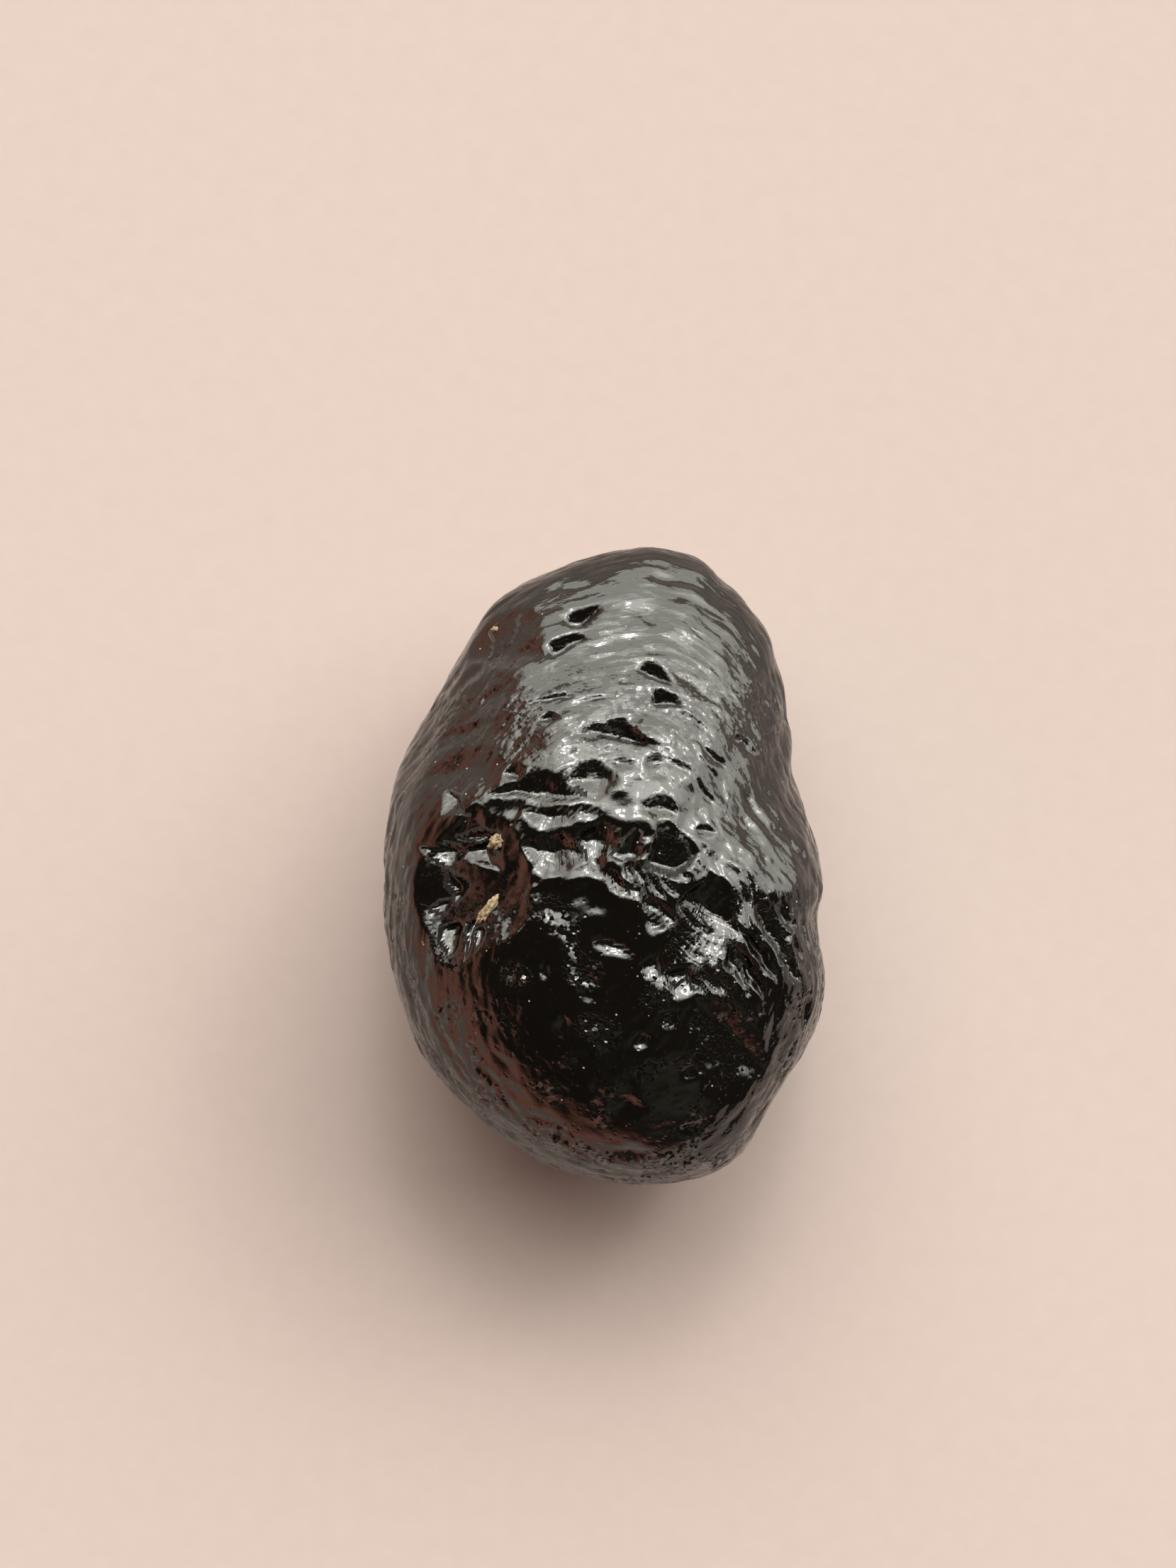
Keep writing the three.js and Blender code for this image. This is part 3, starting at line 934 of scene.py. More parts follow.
LEDGE_MARKS = (
    Notch(-3.6, 3.95, 5.6, 1.05, 0.5, -4, 0.5, 0.2, -0.02, 0.7),
    Notch(-0.55, 4.65, 2.8, 1.0, 1.5, -2, 0.5, 0, -0.03, 0.6),
    Notch(-4.9, 4.95, 1.6, 0.55, 0.4, -4, 0.3),
    Notch(-3.4, 3.55, 2.4, 0.2, 0.3, 6, 0.2, 0, -0.08),
    Notch(0.9, 5.6, 2.0, 0.36, 0.34, -6, 0.24),
    Notch(2.8, 5.6, 1.3, 0.44, 0.35, -8, 0.28),
    Notch(2.9, 4.85, 1.4, 0.2, 0.24, -12, 0.14),
    Notch(4.2, 5.35, 2.0, 0.16, 0.25, -22, 0.14),
    Notch(0.3, 6.15, 2.4, 0.12, 0.2, -5, 0.12),
    Notch(3.0, 3.1, 2.4, 0.6, 0.8, -8, 0.42, 0, -0.05),
    Notch(-2.9, 3.0, 3.2, 0.3, 1.25, -4, 0.4, 0, -0.05, 0.6),
    Notch(-1.0, 3.0, 1.9, 0.25, 0.6, -16, 0.22),
    Notch(-2.6, 0.95, 4.2, 1.0, 1.6, -8, 0.7, -0.1, -0.02, 0.6),
    Notch(-0.2, 1.45, 2.6, 1.2, 1.9, -6, 0.8, -0.1, -0.12, 0.6),
    Notch(1.3, 0.55, 1.5, 1.9, 0.5, -15, 0.6, 0, 0, 0.6),
    Notch(3.4, 0.55, 3.0, 1.7, 0.9, -15, 0.5, 0, -0.05, 0.6),
    Notch(5.6, 1.9, 1.2, 0.34, 0.36, -20, 0.22),
    Notch(-2.2, -1.3, 4.2, 0.5, 2.6, 2, 0.16, 0, 0, 0.7),
    Notch(5.8, -2.5, 3.9, 2.2, 6.0, -30, 0.7, 0, -0.03),
    Notch(0.75, -0.9, 2.1, 0.45, 0.6, -58, 0.45, 0, 0, 0.5),
    Notch(1.45, -0.2, 2.6, 0.4, 0.45, -72, 0.42, 0, 0, 0.5),
    Notch(2.1, -0.7, 2.4, 0.35, 0.5, -66, 0.4, 0, 0, 0.5),
    Notch(2.75, -0.9, 2.4, 0.3, 0.45, -55, 0.36, 0, 0, 0.5),
    Notch(3.4, -0.8, 2.2, 0.3, 0.4, -46, 0.32, 0, 0, 0.5),
    Notch(4.0, -0.3, 2.0, 0.25, 0.35, -38, 0.28, 0, 0, 0.5),
    Notch(1.65, -1.25, 1.5, 0.25, 0.85, -4, 0.42, 0, -0.1, 0.4),
    Notch(2.55, -1.9, 1.7, 0.3, 0.8, -28, 0.42, 0, 0, 0.7),
    Notch(3.35, -2.5, 2.2, 0.35, 0.6, -50, 0.4, 0, 0, 0.6),
    Notch(2.7, -2.9, 1.6, 0.25, 0.5, -34, 0.3),
    Notch(4.45, -2.3, 1.2, 0.2, 0.3, -40, 0.22),
    Notch(5.2, -3.6, 1.4, 0.2, 0.3, -62, 0.25),
    Notch(4.4, -3.7, 0.8, 0.2, 0.3, -50, 0.22),
)
FLANK_MARKS = (
    Notch(8.0, 3.75, 1.5, 0.26, 0.24, -42, 0.2),
    Notch(9.3, 2.1, 1.3, 0.26, 0.24, -50, 0.2),
    Notch(8.9, 0.4, 1.1, 0.22, 0.22, -58, 0.18),
    Notch(10.5, 0.5, 1.4, 0.28, 0.22, -53, 0.22),
    Notch(9.7, -2.6, 2.0, 0.32, 0.34, -48, 0.3, ragged=0.4),
    Notch(9.2, -3.7, 4.0, 0.75, 0.5, -58, 0.6, ragged=0.3),
    Notch(9.8, -5.0, 3.2, 0.5, 0.4, -62, 0.5, ragged=0.3),
    Notch(8.3, -4.6, 3.6, 0.4, 0.5, -57, 0.48, ragged=0.3),
    Notch(7.8, -5.6, 3.6, 0.4, 0.65, -57, 0.52, ragged=0.3),
    Notch(7.1, -5.2, 3.6, 0.42, 0.55, -62, 0.5, ragged=0.3),
    Notch(10.6, -4.8, 2.8, 0.3, 0.3, -72, 0.25, ragged=0.4),
)
CHIP_MARKS = (
    Notch(0.5, -4.3, 3.0, 0.3, 0.85, -16, 0.3, 0, -0.05),
    Notch(5.0, -6.1, 2.0, 0.3, 0.45, -60, 0.42, 0, 0, 0.4),
    Notch(5.6, -6.0, 1.9, 0.3, 0.4, -60, 0.42, 0, 0, 0.4),
    Notch(6.35, -6.5, 1.4, 0.25, 0.35, -65, 0.34, 0, 0, 0.4),
)

BROAD_SCALLOPS = Scallops(
    count=420, seed=70001, length=(1.0, 3.6), wall=(0.25, 0.8), floor=(0.25, 0.9),
    turn=(-18, 18), strength=(0.4, 1.0), steepness=0.22, crown_share=0.5, head_share=0.6,
)
GLINTS = Scallops(
    count=900, seed=90217, length=(0.25, 0.7), wall=(0.08, 0.22), floor=(0.12, 0.3),
    turn=(-180, 180), steepness=0.42, head_share=0.15,
)
SLITS = Scallops(
    count=1400, seed=52361, length=(0.5, 1.7), wall=(0.1, 0.24), floor=(0.12, 0.32),
    turn=(-14, 14), steepness=0.45, crown_share=0.3, head_share=0.5,
)


# ---- The stone ----


@dataclass(frozen=True)
class TektiteGlass:
    """Natural silica glass, quenched in the air and etched by soil acids.

    It is so full of iron that it is black, with a trace of brown. Fresh chips are as glossy as
    a bottle; the rest is dulled by fine flow lines and etch pits. Sizes are in mm.
    """

    name: str = "tektite_glass_etched"
    black: str = "#030302"
    brown: str = "#080503"
    dust: str = "#86806F"
    ior: float = 1.51
    chip_roughness: float = 0.04
    skin_roughness: float = 0.07
    etched_roughness: float = 0.1
    dust_roughness: float = 0.85
    streak_pitch: float = 0.35  # across the flow
    streak_run: float = 2.6  # how far a streak keeps its course
    streak_height: float = 0.036
    pit_spacing: float = 0.38
    pit_share: float = 0.34  # a pit's radius, as a share of the spacing
    pit_depth: float = 0.03
    flake_pitch: float = 0.34  # across the flow
    flake_run: float = 1.2  # along it
    flake_slope: float = 0.12  # how far the smallest flakes tilt across the flow
    glitter_size: float = 0.22
    glitter_slope: float = 0.3
    chip_glitter: float = 0.25  # how much of it is left on the chips
    grain_size: float = 0.45
    grain_height: float = 0.02
    chip_grain: float = 0.35  # how much of it is left on the chips
    rib_pitch: float = 0.28
    ripple_pitch: float = 0.4
    rib_height: float = 0.032
    dust_spacing: float = 0.55
    dust_share: float = 0.11  # a speck's radius, as a share of the spacing
    dust_core: float = 0.6  # the part of it that is wholly dust
    dust_least: float = 0.88  # a draw between 0 and 1 has to pass this for a speck to be there

    def build(self) -> bpy.types.Material:
        """Makes the material.

        Returns:
            The material.
        """
        material, add, shader = new_material(self.name)
        place = add("TexCoord").outputs["Object"]
        zones = {
            zone: add("Attribute", attribute_name=zone.value).outputs["Fac"] for zone in Zone
        }
        chipped = zones[Zone.CHIPPED]
        grain = add(
            "TexNoise",
            {"Vector": place, "Scale": 1 / (self.grain_size * MM), "Detail": 3.0, "Roughness": 0.5},
        ).outputs["Fac"]
        dusty = self.dust_specks(add, place)
        # Gloss: chips are smooth, the skin is duller, and the etched band dullest.
        skin = add(
            "MapRange",
            {"Value": zones[Zone.ETCHED], "To Min": self.skin_roughness,
             "To Max": self.etched_roughness},
        ).outputs["Result"]
        gloss = add(
            "MapRange", {"Value": chipped, "To Min": skin, "To Max": self.chip_roughness}
        ).outputs["Result"]
        rough = add("Mix", {"Factor": dusty, "A": gloss, "B": self.dust_roughness})
        glass = add(
            "Mix",
            {"Factor": grain, "A": linear_colour(self.black), "B": linear_colour(self.brown)},
            data_type="RGBA",
        ).outputs["Result"]
        colour = add(
            "Mix", {"Factor": dusty, "A": glass, "B": linear_colour(self.dust)}, data_type="RGBA"
        )
        plug_in(shader, {
            "Base Color": colour.outputs["Result"], "Roughness": rough.outputs["Result"],
            "Normal": self.relief(add, place, zones, grain), "IOR": self.ior,
        })
        return material

    def relief(
        self, add: Callable, place: Socket, zones: dict[Zone, Socket], grain: Socket
    ) -> Socket:
        """Lays the fine relief over the skin, each kind in its own zone.

        Args:
            add: Adds a node.
            place: The socket with the place.
            zones: The sockets with the zones' values.
            grain: The socket with the grain.

        Returns:
            The socket with the normal.
        """
        flowing, chipped = zones[Zone.FLOWING], zones[Zone.CHIPPED]
        pitted = add(
            "Math", {0: zones[Zone.ETCHED], 1: zones[Zone.WORN]}, operation="MAXIMUM"
        ).outputs[0]
        hackled = add("Math", {0: chipped, 1: self.chip_glitter}, operation="MULTIPLY").outputs[0]
        glittering = add(
            "Math", {0: zones[Zone.ETCHED], 1: hackled}, operation="MAXIMUM"
        ).outputs[0]
        calm = add(
            "MapRange", {"Value": chipped, "To Min": 1.0, "To Max": self.chip_grain}
        ).outputs["Result"]
        normal = None
        for height, strength, distance in (
            (self.streaks(add, place, zones[Zone.RING]), flowing, self.streak_height * MM),
            (self.flakes(add, place, zones[Zone.RING]), flowing, 1.0),
            (self.glitter(add, place), glittering, 1.0),
            (self.ribs(add, zones[Zone.FAN], zones[Zone.RIPPLE]), chipped, self.rib_height * MM),
            (self.pits(add, place), pitted, self.pit_depth * MM),
            (grain, calm, self.grain_height * MM),
        ):
            links = {"Height": height, "Strength": strength, "Distance": distance}
            if normal is not None:
                links["Normal"] = normal
            normal = add("Bump", links).outputs["Normal"]
        return normal

    def streaks(self, add: Callable, place: Socket, ring: Socket) -> Socket:
        """Streaks that change fast from ring to ring and slowly along one.

        Args:
            add: Adds a node.
            place: The socket with the place.
            ring: The socket with the distance from the flow's pole.

        Returns:
            The socket with the height, 0 to 1.
        """
        # The noise multiplies its W by its scale too, so the rings are given in runs.
        run = self.streak_run * MM
        rings = add("Math", {0: ring, 1: run / self.streak_pitch}, operation="MULTIPLY").outputs[0]
        return add(
            "TexNoise",
            {"Vector": place, "W": rings, "Scale": 1 / run, "Detail": 4.0, "Roughness": 0.55},
            noise_dimensions="4D",
        ).outputs["Fac"]

    def flakes(self, add: Callable, place: Socket, ring: Socket) -> Socket:
        """Flat flakes, long with the flow, each tilted across it at random.

        Args:
            add: Adds a node.
            place: The socket with the place.
            ring: The socket with the distance from the flow's pole.

        Returns:
            The socket with the height in metres.
        """
        run = self.flake_run * MM
        rings = add("Math", {0: ring, 1: run / self.flake_pitch}, operation="MULTIPLY").outputs[0]
        cells = add(
            "TexVoronoi", {"Vector": place, "W": rings, "Scale": 1 / run},
            voronoi_dimensions="4D", feature="F1",
        ).outputs
        chance = add("SeparateColor", {"Color": cells["Color"]}).outputs["Red"]
        steepest = self.flake_slope * self.flake_pitch / self.flake_run
        slope = add(
            "MapRange", {"Value": chance, "To Min": -steepest, "To Max": steepest}
        ).outputs["Result"]
        offset = add("Math", {0: rings, 1: cells["W"]}, operation="SUBTRACT").outputs[0]
        return add("Math", {0: offset, 1: slope}, operation="MULTIPLY").outputs[0]

    def glitter(self, add: Callable, place: Socket) -> Socket:
        """Tiny flat faces left by the soil acids, each tilted at random.

        Args:
            add: Adds a node.
            place: The socket with the place.

        Returns:
            The socket with the height in metres.
        """
        cells = add(
            "TexVoronoi", {"Vector": place, "Scale": 1 / (self.glitter_size * MM)}, feature="F1"
        ).outputs
        offset = add("VectorMath", {0: place, 1: cells["Position"]}, operation="SUBTRACT")
        slope = add("VectorMath", {0: cells["Color"], 1: (0.5, 0.5, 0.5)}, operation="SUBTRACT")
        height = add(
            "VectorMath", {0: offset.outputs["Vector"], 1: slope.outputs["Vector"]},
            operation="DOT_PRODUCT",
        ).outputs["Value"]
        return add("Math", {0: height, 1: 2 * self.glitter_slope}, operation="MULTIPLY").outputs[0]

    def ribs(self, add: Callable, fan: Socket, ripple: Socket) -> Socket:
        """The ribs of a broken face, which fan out, and the ripples across them.

        Args:
            add: Adds a node.
            fan: The socket with the distance that is constant along each rib.
            ripple: The socket with the one that is constant along each ripple.

        Returns:
            The socket with the height, 0 to 2.
        """
        ribs, ripples = (
            add(
                "TexNoise", {"W": distance, "Scale": 1 / pitch, "Detail": detail},
                noise_dimensions="1D",
            ).outputs["Fac"]
            for distance, pitch, detail in (
                (fan, self.rib_pitch, 2.0), (ripple, self.ripple_pitch, 1.0)
            )
        )
        return add("Math", {0: ribs, 1: ripples}, operation="ADD").outputs[0]

    def pits(self, add: Callable, place: Socket) -> Socket:
        """Round etch pits.

        Args:
            add: Adds a node.
            place: The socket with the place.

        Returns:
            The socket with the height: 0 in the middle of a pit, and 1 outside them.
        """
        distance = add(
            "TexVoronoi", {"Vector": place, "Scale": 1 / (self.pit_spacing * MM)}, feature="F1"
        ).outputs["Distance"]
        return add(
            "MapRange", {"Value": distance, "From Max": self.pit_share},
            interpolation_type="SMOOTHSTEP",
        ).outputs["Result"]

    def dust_specks(self, add: Callable, place: Socket) -> Socket:
        """A few pale specks of dust.

        Args:
            add: Adds a node.
            place: The socket with the place.

        Returns:
            The socket with the share of dust.
        """
        speck = add(
            "TexVoronoi", {"Vector": place, "Scale": 1 / (self.dust_spacing * MM)}, feature="F1"
        ).outputs
        near = add(
            "MapRange",
            {"Value": speck["Distance"], "From Min": self.dust_share,
             "From Max": self.dust_share * self.dust_core},
        ).outputs["Result"]
        chance = add("SeparateColor", {"Color": speck["Color"]}).outputs["Red"]
        kept = add("Math", {0: chance, 1: self.dust_least}, operation="GREATER_THAN").outputs[0]
        return add("Math", {0: near, 1: kept}, operation="MULTIPLY").outputs[0]


@dataclass
class Survey:
    """What is known of each point of the body before it is carved."""

    points: np.ndarray
    normals: np.ndarray
    seen: np.ndarray  # where the eye sees it
    ring: np.ndarray  # how far it is from the flow's pole, mm
    wander: np.ndarray
    rough: np.ndarray
    broken: np.ndarray

    @property
    def crumbled(self) -> np.ndarray:
        """The points with small random shifts, which break up an edge."""
        return self.points + np.column_stack([self.rough, self.rough[:, 0]])


@dataclass
class Marks:
    """What the marks have done at each point of the body."""

    cut: np.ndarray  # how deep it is cut, mm
    placed: np.ndarray  # the share of a listed notch, 0 to 1
    scooped: np.ndarray  # how deep the hollows and scoops alone cut it, mm
    fan: np.ndarray
    ripple: np.ndarray

    def break_face(self, notch: Notch, seen: np.ndarray, where: np.ndarray) -> None:
        """Gives the points where a notch has cut the ribs and ripples of its broken face.

        Args:
            notch: The notch.
            seen: Where the eye sees each point.
            where: True for the points that the notch has cut.
        """
        ribs, ripples = notch.fracture(seen)
        self.fan[where] = ribs[where]
        self.ripple[where] = ripples[where]


@dataclass(frozen=True)
class Limits:
    """Where each region of the skin begins and where it is full."""

    # By the depth of a cut, mm
    chipped: tuple[float, float] = (0.04, 0.25)
    placed: tuple[float, float] = (0.08, 0.35)
    hollow: tuple[float, float] = (0.3, 0.8)
    # By how far the skin faces up, as a cosine
    crown: tuple[float, float] = (-0.05, 0.25)
    top: tuple[float, float] = (0.1, 0.5)
    neck_top: tuple[float, float] = (0.2, 0.6)
    rim: tuple[float, float] = (0.85, 0.6)
    # By the place along the stone where the eye sees it, mm
    low_centre: tuple[float, float] = (0.0, -4.0)
    head: tuple[float, float] = (8.0, 11.0)
    upper_rim: tuple[float, float] = (-4.0, 2.0)
    # By the distance from the flow's pole, mm
    flow: tuple[float, float] = (5.0, 12.0)
    # By a noise of about -1 to 1
    patches: tuple[float, float] = (0.0, 0.35)
    # Bands across the stone: the middle and the half width, mm
    ledges: tuple[float, float] = (0.5, 3.8)
    neck: tuple[float, float] = (8.0, 3.2)

    @staticmethod
    def band(band: tuple[float, float], y: np.ndarray) -> np.ndarray:
        """How much each place along the stone lies in a band."""
        middle, half_width = band
        return np.exp(-(((y - middle) / half_width) ** 2))


@dataclass(frozen=True)
class Stone:
    """The tektite: a fine skin over the body, carved and dressed. Sizes are in mm."""

    name: str = "stone_skin"
    cuts: int = 127  # each side of the starting cube is cut this often
    crowding: float = 0.45  # pulls the skin's points towards the crown, where the relief is
    flow_pole: tuple[float, float, float] = (0.08, -0.36, 0.93)
    body: Body = Body()
    lines: FlowLines = FlowLines()
    notches: tuple[Notch, ...] = HEAD_MARKS + LEDGE_MARKS + FLANK_MARKS + CHIP_MARKS
    hollow_marks: tuple[Notch, ...] = HOLLOW_MARKS
    scoops: tuple[Scoop, ...] = SCOOPS
    hollows: tuple[Hollow, ...] = HOLLOWS
    scallops: tuple[Scallops, ...] = (BROAD_SCALLOPS, GLINTS, SLITS)
    edge_shifts: tuple[tuple[float, float], ...] = ((1.1, 0.1), (0.37, 0.05))  # pitch and size
    jitter_seed: int = 4  # the vector noise starts from the clock unless it is given a seed
    notch_wander: float = 0.5  # how much of the wander a notch follows
    hollow_wander: float = 0.3  # and a hollow or scoop
    hollow_roughness: float = 0.04
    flake_size: tuple[float, float] = (2.1, 1.1)  # along the flow and across it
    splinter_size: tuple[float, float] = (0.9, 0.3)
    step_width: float = 0.2  # of a flake's edge, as a share of the flake
    # Heights of the skin, then what the ledges and the low centre add to them
    flake_heights: tuple[float, float, float] = (0.05, 0.04, -0.02)
    splinter_heights: tuple[float, float, float] = (0.018, 0.02, 0.012)
    broken_height: float = 0.03
    limits: Limits = Limits()
    # The share of the flakes and splinters that each region takes away
    hollow_calm: float = 0.8
    head_calm: float = 0.45
    rim_calm: float = 0.65
    placed_calm: float = 0.5
    # The share of the etching and of the flow lines that chips and the rim take away
    chip_etching: float = 0.7
    chip_flow: float = 0.65
    rim_flow: float = 0.6
    rim_lines: float = 0.5
    centre_swell: float = 0.7  # the share of the swell that the low centre takes away
    neck_etching: float = 0.4
    centre_wear: float = 0.6
    etching_contrast: float = 0.6  # how much the broken grain varies the etching and the wear

    @property
    def pole(self) -> np.ndarray:
        """The direction of the flow's pole."""
        return unit_rows(np.array(self.flow_pole))

    def wander(self, points: np.ndarray) -> np.ndarray:
        """A slow wander of the surface, so that no mark keeps a ruled outline."""
        x, y, z = points.T
        return np.column_stack([
            0.22 * np.sin(1.9 * y + 0.8 * x + 0.5) + 0.12 * np.sin(4.1 * y - 2.3 * x + z + 1.3),
            0.18 * np.sin(1.7 * x - 0.6 * y + 2.1) + 0.1 * np.sin(3.7 * x + 2.9 * y - z + 0.2),
        ])

    def swell(self, points: np.ndarray) -> np.ndarray:
        """Long, low swells of the whole body.

        Args:
            points: Points of the body.

        Returns:
            How far the skin is raised at each, in mm.
        """
        x, y, z = points.T
        long = np.sin(0.55 * x + 0.7) * np.sin(0.42 * y - 0.3 + 0.2 * z)
        short = np.sin(1.3 * x - 0.9 * y + 1.1) * np.sin(1.1 * y + 1.2 * z)
        return 0.25 * long + 0.1 * short

    def jitter(self, points: np.ndarray, pitch: float, shift: float) -> np.ndarray:
        """Small random shifts in the plane, from a noise with the given pitch in mm.

        Args:
            points: Points of the body.
            pitch: The noise's pitch, mm.
            shift: The size of the shifts, mm.

        Returns:
            A row of x and y for each point.
        """
        noise.seed_set(self.jitter_seed)
        rows = [noise.noise_vector(Vector(p / pitch))[:2] for p in points]
        return shift * np.array(rows)

    def crumble(self, points: np.ndarray) -> np.ndarray:
        """A rough, broken grain of a millimetre and less, about -1 to 1."""
        return np.array([noise.fractal(Vector(p) * 0.9, 0.8, 2.1, 4) for p in points])

    def patches(self, points: np.ndarray) -> np.ndarray:
        """Patches two or three millimetres wide, about -1 to 1, in which the skin is etched."""
        return np.array([noise.noise(Vector(p) * 0.55 + Vector((7.0, 3.0, 1.0))) for p in points])

    def survey(self, unit: np.ndarray) -> Survey:
        """Works out what every mark has to know, for points of the unit sphere.

        Args:
            unit: Points of the unit sphere.

        Returns:
            What is known of each of them.
        """
        points = self.body.points(unit)
        coarse, fine = (self.jitter(points, *edge_shift) for edge_shift in self.edge_shifts)
        return Survey(
            points=points, normals=self.body.normals(unit), seen=seen_from_eye(points),
            ring=self.lines.ring(unit, self.pole), wander=self.wander(points),
            rough=coarse + fine, broken=self.crumble(points),
        )

    def cut_marks(self, at: Survey) -> Marks:
        """Cuts the notches, scoops, hollows and scallops.

        Args:
            at: The body's points.

        Returns:
            What the marks have done at each of them.
        """
        zero = np.zeros(len(at.points))
        marks = Marks(zero.copy(), zero, zero, zero.copy(), zero.copy())
        marked = at.seen + self.notch_wander * at.wander + at.rough
        moved = at.points + np.column_stack([self.hollow_wander * at.wander, zero])
        for notch in self.notches:
            new = notch.cut(marked)
            marks.break_face(notch, marked, new > marks.cut)
            marks.cut = np.maximum(marks.cut, new)
        for scoop in self.scoops:
            new = scoop.cut(self.body, moved, at.normals)
            marks.scooped = np.maximum(marks.scooped, new)
        for hollow in self.hollows:
            new = hollow.cut(
                self.body, moved + at.broken[:, None] * self.hollow_roughness, at.normals
            )
            marks.scooped = np.maximum(marks.scooped, new)
        marks.placed = smoothstep(*self.limits.placed, marks.cut)
        marks.cut = np.maximum(marks.cut, marks.scooped)
        for notch in self.hollow_marks:
            new = notch.cut(marked)
            marks.break_face(notch, marked, new > 0)
            marks.cut += new
        # The eye sees a place on the crown and one on the belly: only the crown is cut.
        marks.cut *= smoothstep(*self.limits.crown, at.normals[:, 2])
        crumbled = at.crumbled
        for scallops in self.scallops:
            marks.cut = np.maximum(marks.cut, scallops.cut(self.body, self.pole, crumbled))
        return marks

    def flaked(
        self, at: Survey, size: tuple[float, float], stray: np.ndarray, seed: float
    ) -> np.ndarray:
        """Flat flakes or splinters, long with the flow.

        Args:
            at: The body's points.
            size: How long they are with the flow, and how wide across it, mm.
            stray: How far their edges stray across the flow at each point, mm.
            seed: Chooses the pattern.

        Returns:
            Their height at each point, about -1 to 1.
        """
        along, across = size
        places = np.column_stack([at.crumbled / along, (at.ring + stray) / across])
        return facets(places, seed, self.step_width)

    def carve(self, unit: np.ndarray) -> tuple[np.ndarray, dict[Zone, np.ndarray]]:
        """Works out the skin of the stone.

        Args:
            unit: Points of the unit sphere.

        Returns:
            The points of the skin in mm, its middle plane at z = 0, and a value for each zone.
        """
        at = self.survey(unit)
        marks = self.cut_marks(at)
        limits = self.limits
        up, y = at.normals[:, 2], at.seen[:, 1]
        chipped = smoothstep(*limits.chipped, marks.cut)
        in_hollow = smoothstep(*limits.hollow, marks.scooped)
        on_top = smoothstep(*limits.top, up)
        in_ledges = limits.band(limits.ledges, y) * on_top
        low_centre = smoothstep(*limits.low_centre, y) * on_top
        on_head = smoothstep(*limits.head, y) * on_top
        on_rim = smoothstep(*limits.rim, up) * smoothstep(*limits.upper_rim, y)
        on_neck = limits.band(limits.neck, y) * smoothstep(*limits.neck_top, up)
        calm = (
            (1 - self.hollow_calm * in_hollow) * (1 - self.head_calm * on_head)
            * (1 - self.rim_calm * on_rim)
        )
        calm *= 1 - self.placed_calm * marks.placed
        chips = np.zeros(len(unit))
        for size, heights, stray, seed in (
            (self.flake_size, self.flake_heights, 0.5 * at.rough[:, 0], 3.0),
            (self.splinter_size, self.splinter_heights, 0.2 * at.rough[:, 1], 11.0),
        ):
            skin_height, ledge_height, centre_height = heights
            height = skin_height + ledge_height * in_ledges + centre_height * low_centre
            chips += height * calm * self.flaked(at, size, stray, seed)
        flow_lines = self.lines.height(at.ring, at.points)
        skin = at.points + at.normals * (
            self.swell(at.points) * (1 - self.centre_swell * low_centre) - marks.cut
            + flow_lines * (1 - chipped) * (1 - self.rim_lines * on_rim)
            + chips + self.broken_height * at.broken
        )[:, None]
        skin[:, 2] = np.maximum(skin[:, 2], self.body.rest_cut - self.body.belly_depth)
        patches = smoothstep(*limits.patches, self.patches(at.points))
        patches = low_centre * (1 - in_hollow) * patches
        uneven = self.etching_contrast * at.broken
        etched = np.clip(self.neck_etching * on_neck * (1 + uneven) + patches, 0, 1)
        flowing = smoothstep(*limits.flow, at.ring)
        zones = {
            Zone.RING: at.ring,
            Zone.FAN: marks.fan,
            Zone.RIPPLE: marks.ripple,
            Zone.ETCHED: etched * (1 - self.chip_etching * chipped),
            Zone.CHIPPED: chipped,
            Zone.WORN: np.clip(low_centre * (self.centre_wear + uneven), 0, 1),
            Zone.FLOWING: flowing * (1 - self.chip_flow * chipped) * (1 - self.rim_flow * on_rim),
        }
        return skin, zones

    def build(self) -> bpy.types.Object:
        """Makes the stone's mesh.

        A cube is cut fine and blown up to a sphere. The carving itself is worked out point by
        point, because no operator can cut a field of marks that meet in sharp ridges.

        Returns:
            The finished piece.
        """
        deselect_all()
        bpy.ops.mesh.primitive_cube_add(size=2.0)
        piece = take_over(self.name)
        bpy.ops.object.mode_set(mode="EDIT")
        bpy.ops.mesh.select_all(action="SELECT")
        bpy.ops.mesh.subdivide(number_cuts=self.cuts)
        bpy.ops.transform.tosphere(value=1.0)
        bpy.ops.object.mode_set(mode="OBJECT")
        mesh = piece.data
        unit = unit_rows(read_points(mesh))
        unit = unit_rows(unit + np.array([0, 0, self.crowding]))
        skin, zones = self.carve(unit)
        low, high = (np.array(corner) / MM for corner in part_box(STONE_NODE))
        middle = (skin.min(axis=0) + skin.max(axis=0)) / 2
        target = (low + high) / 2
        skin[:, :2] += (target - middle)[:2]
        skin[:, 2] += low[2] - skin[:, 2].min()
        write_points(mesh, skin * MM)
        for zone, values in zones.items():
            write_attribute(mesh, zone.value, values)
        bpy.ops.object.shade_smooth()
        return piece

    def dress(self, piece: bpy.types.Object) -> None:
        """Gives the stone its glass."""
        piece.data.materials.append(TektiteGlass().build())


# ---- The clay crumbs ----


